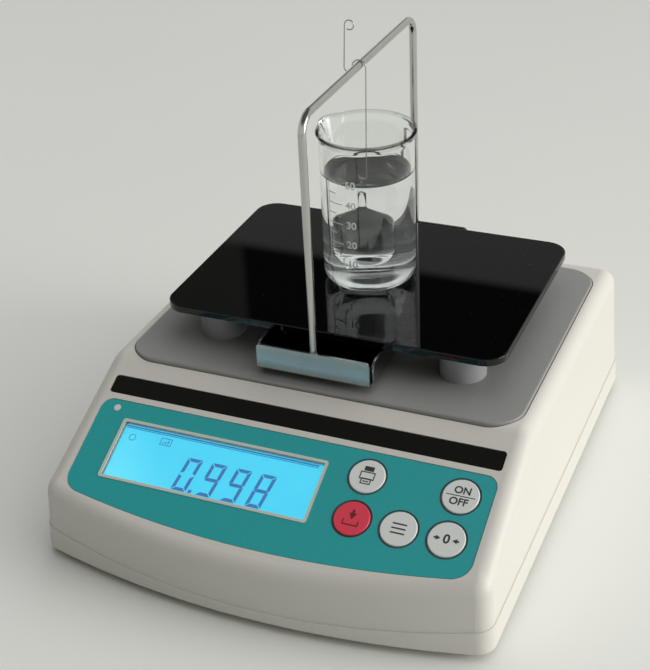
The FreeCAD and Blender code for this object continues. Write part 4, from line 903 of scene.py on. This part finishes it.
def marks_tree(material):
    """Geometry nodes that lay level bars on the beaker's wall: a long one, a short one, and so on."""
    tree = bpy.data.node_groups.new("beaker_marks", "GeometryNodeTree")
    tree.interface.new_socket("Geometry", in_out="OUTPUT", socket_type="NodeSocketGeometry")
    names = ["First height", "Step", "Radius", "Start", "Long sweep", "Short sweep", "Width", "Thickness"]
    for name in names:
        tree.interface.new_socket(name, in_out="INPUT", socket_type="NodeSocketFloat")
    tree.interface.new_socket("Count", in_out="INPUT", socket_type="NodeSocketInt")
    given = tree.nodes.new("NodeGroupInput").outputs
    link = tree.links.new

    def add(kind, **settings):
        made = tree.nodes.new(kind)
        for name, value in settings.items():
            setattr(made, name, value)
        return made

    low = add("ShaderNodeCombineXYZ")
    link(given["First height"], low.inputs["Z"])
    rise = add("ShaderNodeCombineXYZ")
    link(given["Step"], rise.inputs["Z"])
    row = add("GeometryNodeMeshLine")
    link(given["Count"], row.inputs["Count"])
    link(low.outputs[0], row.inputs["Start Location"])
    link(rise.outputs[0], row.inputs["Offset"])
    index = add("GeometryNodeInputIndex")
    odd = add("FunctionNodeIntegerMath", operation="MODULO")
    odd.inputs[1].default_value = 2
    link(index.outputs[0], odd.inputs[0])
    even = add("FunctionNodeCompare", data_type="INT", operation="EQUAL")
    link(odd.outputs[0], even.inputs["A"])
    together = add("GeometryNodeJoinGeometry")
    for sweep, chosen in (("Long sweep", even.outputs[0]), ("Short sweep", odd.outputs[0])):
        arc = add("GeometryNodeCurveArc")
        arc.inputs["Resolution"].default_value = 12
        link(given["Radius"], arc.inputs["Radius"])
        link(given["Start"], arc.inputs["Start Angle"])
        link(given[sweep], arc.inputs["Sweep Angle"])
        copies = add("GeometryNodeInstanceOnPoints")
        link(row.outputs[0], copies.inputs["Points"])
        link(chosen, copies.inputs["Selection"])
        link(arc.outputs[0], copies.inputs["Instance"])
        link(copies.outputs[0], together.inputs[0])
    real = add("GeometryNodeRealizeInstances")
    link(together.outputs[0], real.inputs[0])
    section = add("GeometryNodeCurvePrimitiveQuadrilateral")
    link(given["Thickness"], section.inputs["Width"])
    link(given["Width"], section.inputs["Height"])
    solid = add("GeometryNodeCurveToMesh")
    solid.inputs["Fill Caps"].default_value = True
    link(real.outputs[0], solid.inputs["Curve"])
    link(section.outputs[0], solid.inputs["Profile Curve"])
    finish = add("GeometryNodeSetMaterial")
    finish.inputs["Material"].default_value = material
    link(solid.outputs[0], finish.inputs["Geometry"])
    link(finish.outputs[0], tree.nodes.new("NodeGroupOutput").inputs[0])
    return tree


def grown(name, tree, values):
    """The mesh that a geometry tree makes from its named inputs."""
    holder = bpy.data.objects.new(name, bpy.data.meshes.new(name))
    bpy.context.scene.collection.objects.link(holder)
    modifier = holder.modifiers.new(name, "NODES")
    modifier.node_group = tree
    for socket in tree.interface.items_tree:
        if socket.in_out == "INPUT" and socket.name in values:
            modifier[socket.identifier] = values[socket.name]
    view = bpy.context.evaluated_depsgraph_get()
    mesh = bpy.data.meshes.new_from_object(holder.evaluated_get(view))
    bpy.data.objects.remove(holder)
    return mesh


enamel = white_enamel()
marks = grown("beaker_marks", marks_tree(enamel), {
    "First height": mark_first * mm, "Step": mark_step * mm, "Count": mark_count,
    "Radius": (beaker_radius + mark_out) * mm, "Start": mark_side, "Long sweep": mark_long,
    "Short sweep": mark_short, "Width": mark_width * mm, "Thickness": mark_thickness * mm})
marks.transform(Matrix.Translation(beaker_axis))
piece("beaker_marks", marks, enamel, "beaker")


def round_beaker(turn, across, up, out):
    """A place on the beaker's wall, in millimetres round it, above the plate and out of it."""
    angle = turn + across / beaker_radius
    radius = beaker_radius + figure_out + out
    return beaker_axis + Vector((radius * math.cos(angle), radius * math.sin(angle), up)) * mm


figures = []
for step in range(figure_count):
    height = mark_first + step * 2 * mark_step
    figures += moved(letters(str(10 * (step + 1)), figure_height), 0, height)
upright_line = (mark_side - figure_turn) * beaker_radius
mark_last = mark_first + (mark_count - 1) * mark_step
figures.append(bar_outline(upright_line - upright_half, upright_line + upright_half,
                           mark_first - upright_half, mark_last + upright_half))
piece("beaker_figures",
      joined_mesh("beaker_figures", figures, figure_thickness,
                  lambda x, y, z: round_beaker(figure_turn, x, y, z)),
      enamel, "beaker")


# Test liquid
# Clear water up to the level of the photograph, wetting the glass with a curved edge. It goes
# a little into the wall, so that no air shows between them, and it moves with the beaker.

liquid_level = 48.0
liquid_rise = 2.0
liquid_creep = 5.2
liquid_curve = 2.6
liquid_in_wall = 0.25
liquid_rows = 16
liquid_steps = 160


def liquid_mesh():
    """Flat in the middle and drawn up to the glass at its edge."""
    inner = beaker_radius - beaker_wall + liquid_in_wall
    rounding = foot_rounding - beaker_wall + liquid_in_wall
    low = beaker_floor - liquid_in_wall
    profile = [(0, low)] + arc_points(inner - rounding, low + rounding, rounding, -90, 0, 10)
    profile.append((inner, liquid_level + liquid_rise - 0.1))
    for row in range(liquid_rows + 1):
        share = 1 - row / liquid_rows
        profile.append((inner - liquid_creep * (1 - share),
                        liquid_level + liquid_rise * share ** liquid_curve))
    profile.append((0, liquid_level))
    return turned_mesh("test_liquid", profile, liquid_steps)


liquid = liquid_mesh()
liquid.transform(Matrix.Translation(beaker_axis))
piece("test_liquid", liquid, clear_glass("water", 1.333, (0.985, 0.995, 1.0), (0.93, 0.94, 0.94)), "beaker")


# Sinker
# A fire-polished glass plummet with an eye at its top; its weight in the liquid gives the
# density. Its glass shows only faintly against the water around it.

sinker_low, sinker_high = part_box("sinker")
sinker_axis = Vector(((sinker_low.x + sinker_high.x) / 2, (sinker_low.y + sinker_high.y) / 2, 0))
eye_wire = 0.6
eye_radius = 1.7
neck_height = 6.7
neck_radius = 1.35
neck_round = 1.2
cone_height = 5.9
shoulder_round = 4.0
base_round = 2.5
neck_end = [(neck_radius, 1.9), (0.7, 1.5), (0, 1.4)]
sinker_steps = 96
eye_around = 48
eye_across = 16


def sinker_mesh():
    """Rounded base, straight side, coned shoulder and thin neck, turned; then the eye."""
    body_radius = (sinker_high.x - sinker_low.x) / 2 / mm
    low = sinker_low.z / mm
    eye_z = sinker_high.z / mm - eye_radius - eye_wire
    cone_top = eye_z - eye_radius - neck_height
    bend = 90 - math.degrees(math.atan2(cone_height, body_radius - neck_radius))
    share = math.tan(math.radians(bend / 2))
    profile = [(0, low), *arc_points(body_radius - base_round, low + base_round, base_round, -90, 0, 8),
               *arc_points(body_radius - shoulder_round, cone_top - cone_height - shoulder_round * share,
                           shoulder_round, 0, bend, 10),
               *arc_points(neck_radius + neck_round, cone_top + neck_round * share, neck_round,
                           180 + bend, 180, 6),
               *[(radius, eye_z - below) for radius, below in neck_end]]
    mesh = turned_mesh("sinker_glass", profile, sinker_steps)
    shape = bmesh.new()
    shape.from_mesh(mesh)
    rings = []
    for step in range(eye_around):
        a = 2 * math.pi * step / eye_around
        ring = []
        for turn in range(eye_across):
            b = 2 * math.pi * turn / eye_across
            far = eye_radius + eye_wire * math.cos(b)
            ring.append(shape.verts.new(Vector((eye_wire * math.sin(b), far * math.cos(a),
                                                eye_z + far * math.sin(a))) * mm))
        rings.append(ring)
    for step in range(eye_around):
        here, after = rings[step], rings[(step + 1) % eye_around]
        for turn in range(eye_across):
            far = (turn + 1) % eye_across
            shape.faces.new((here[turn], here[far], after[far], after[turn])).smooth = True
    bmesh.ops.recalc_face_normals(shape, faces=shape.faces)
    shape.to_mesh(mesh)
    shape.free()
    mesh.transform(Matrix.Translation(sinker_axis))
    return mesh


sinker_glass = piece("sinker_glass", sinker_mesh(),
                     clear_glass("sinker_clear", 1.12, (0.97, 0.985, 0.98), (0.9, 0.91, 0.9)),
                     "sinker")
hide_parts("sinker")
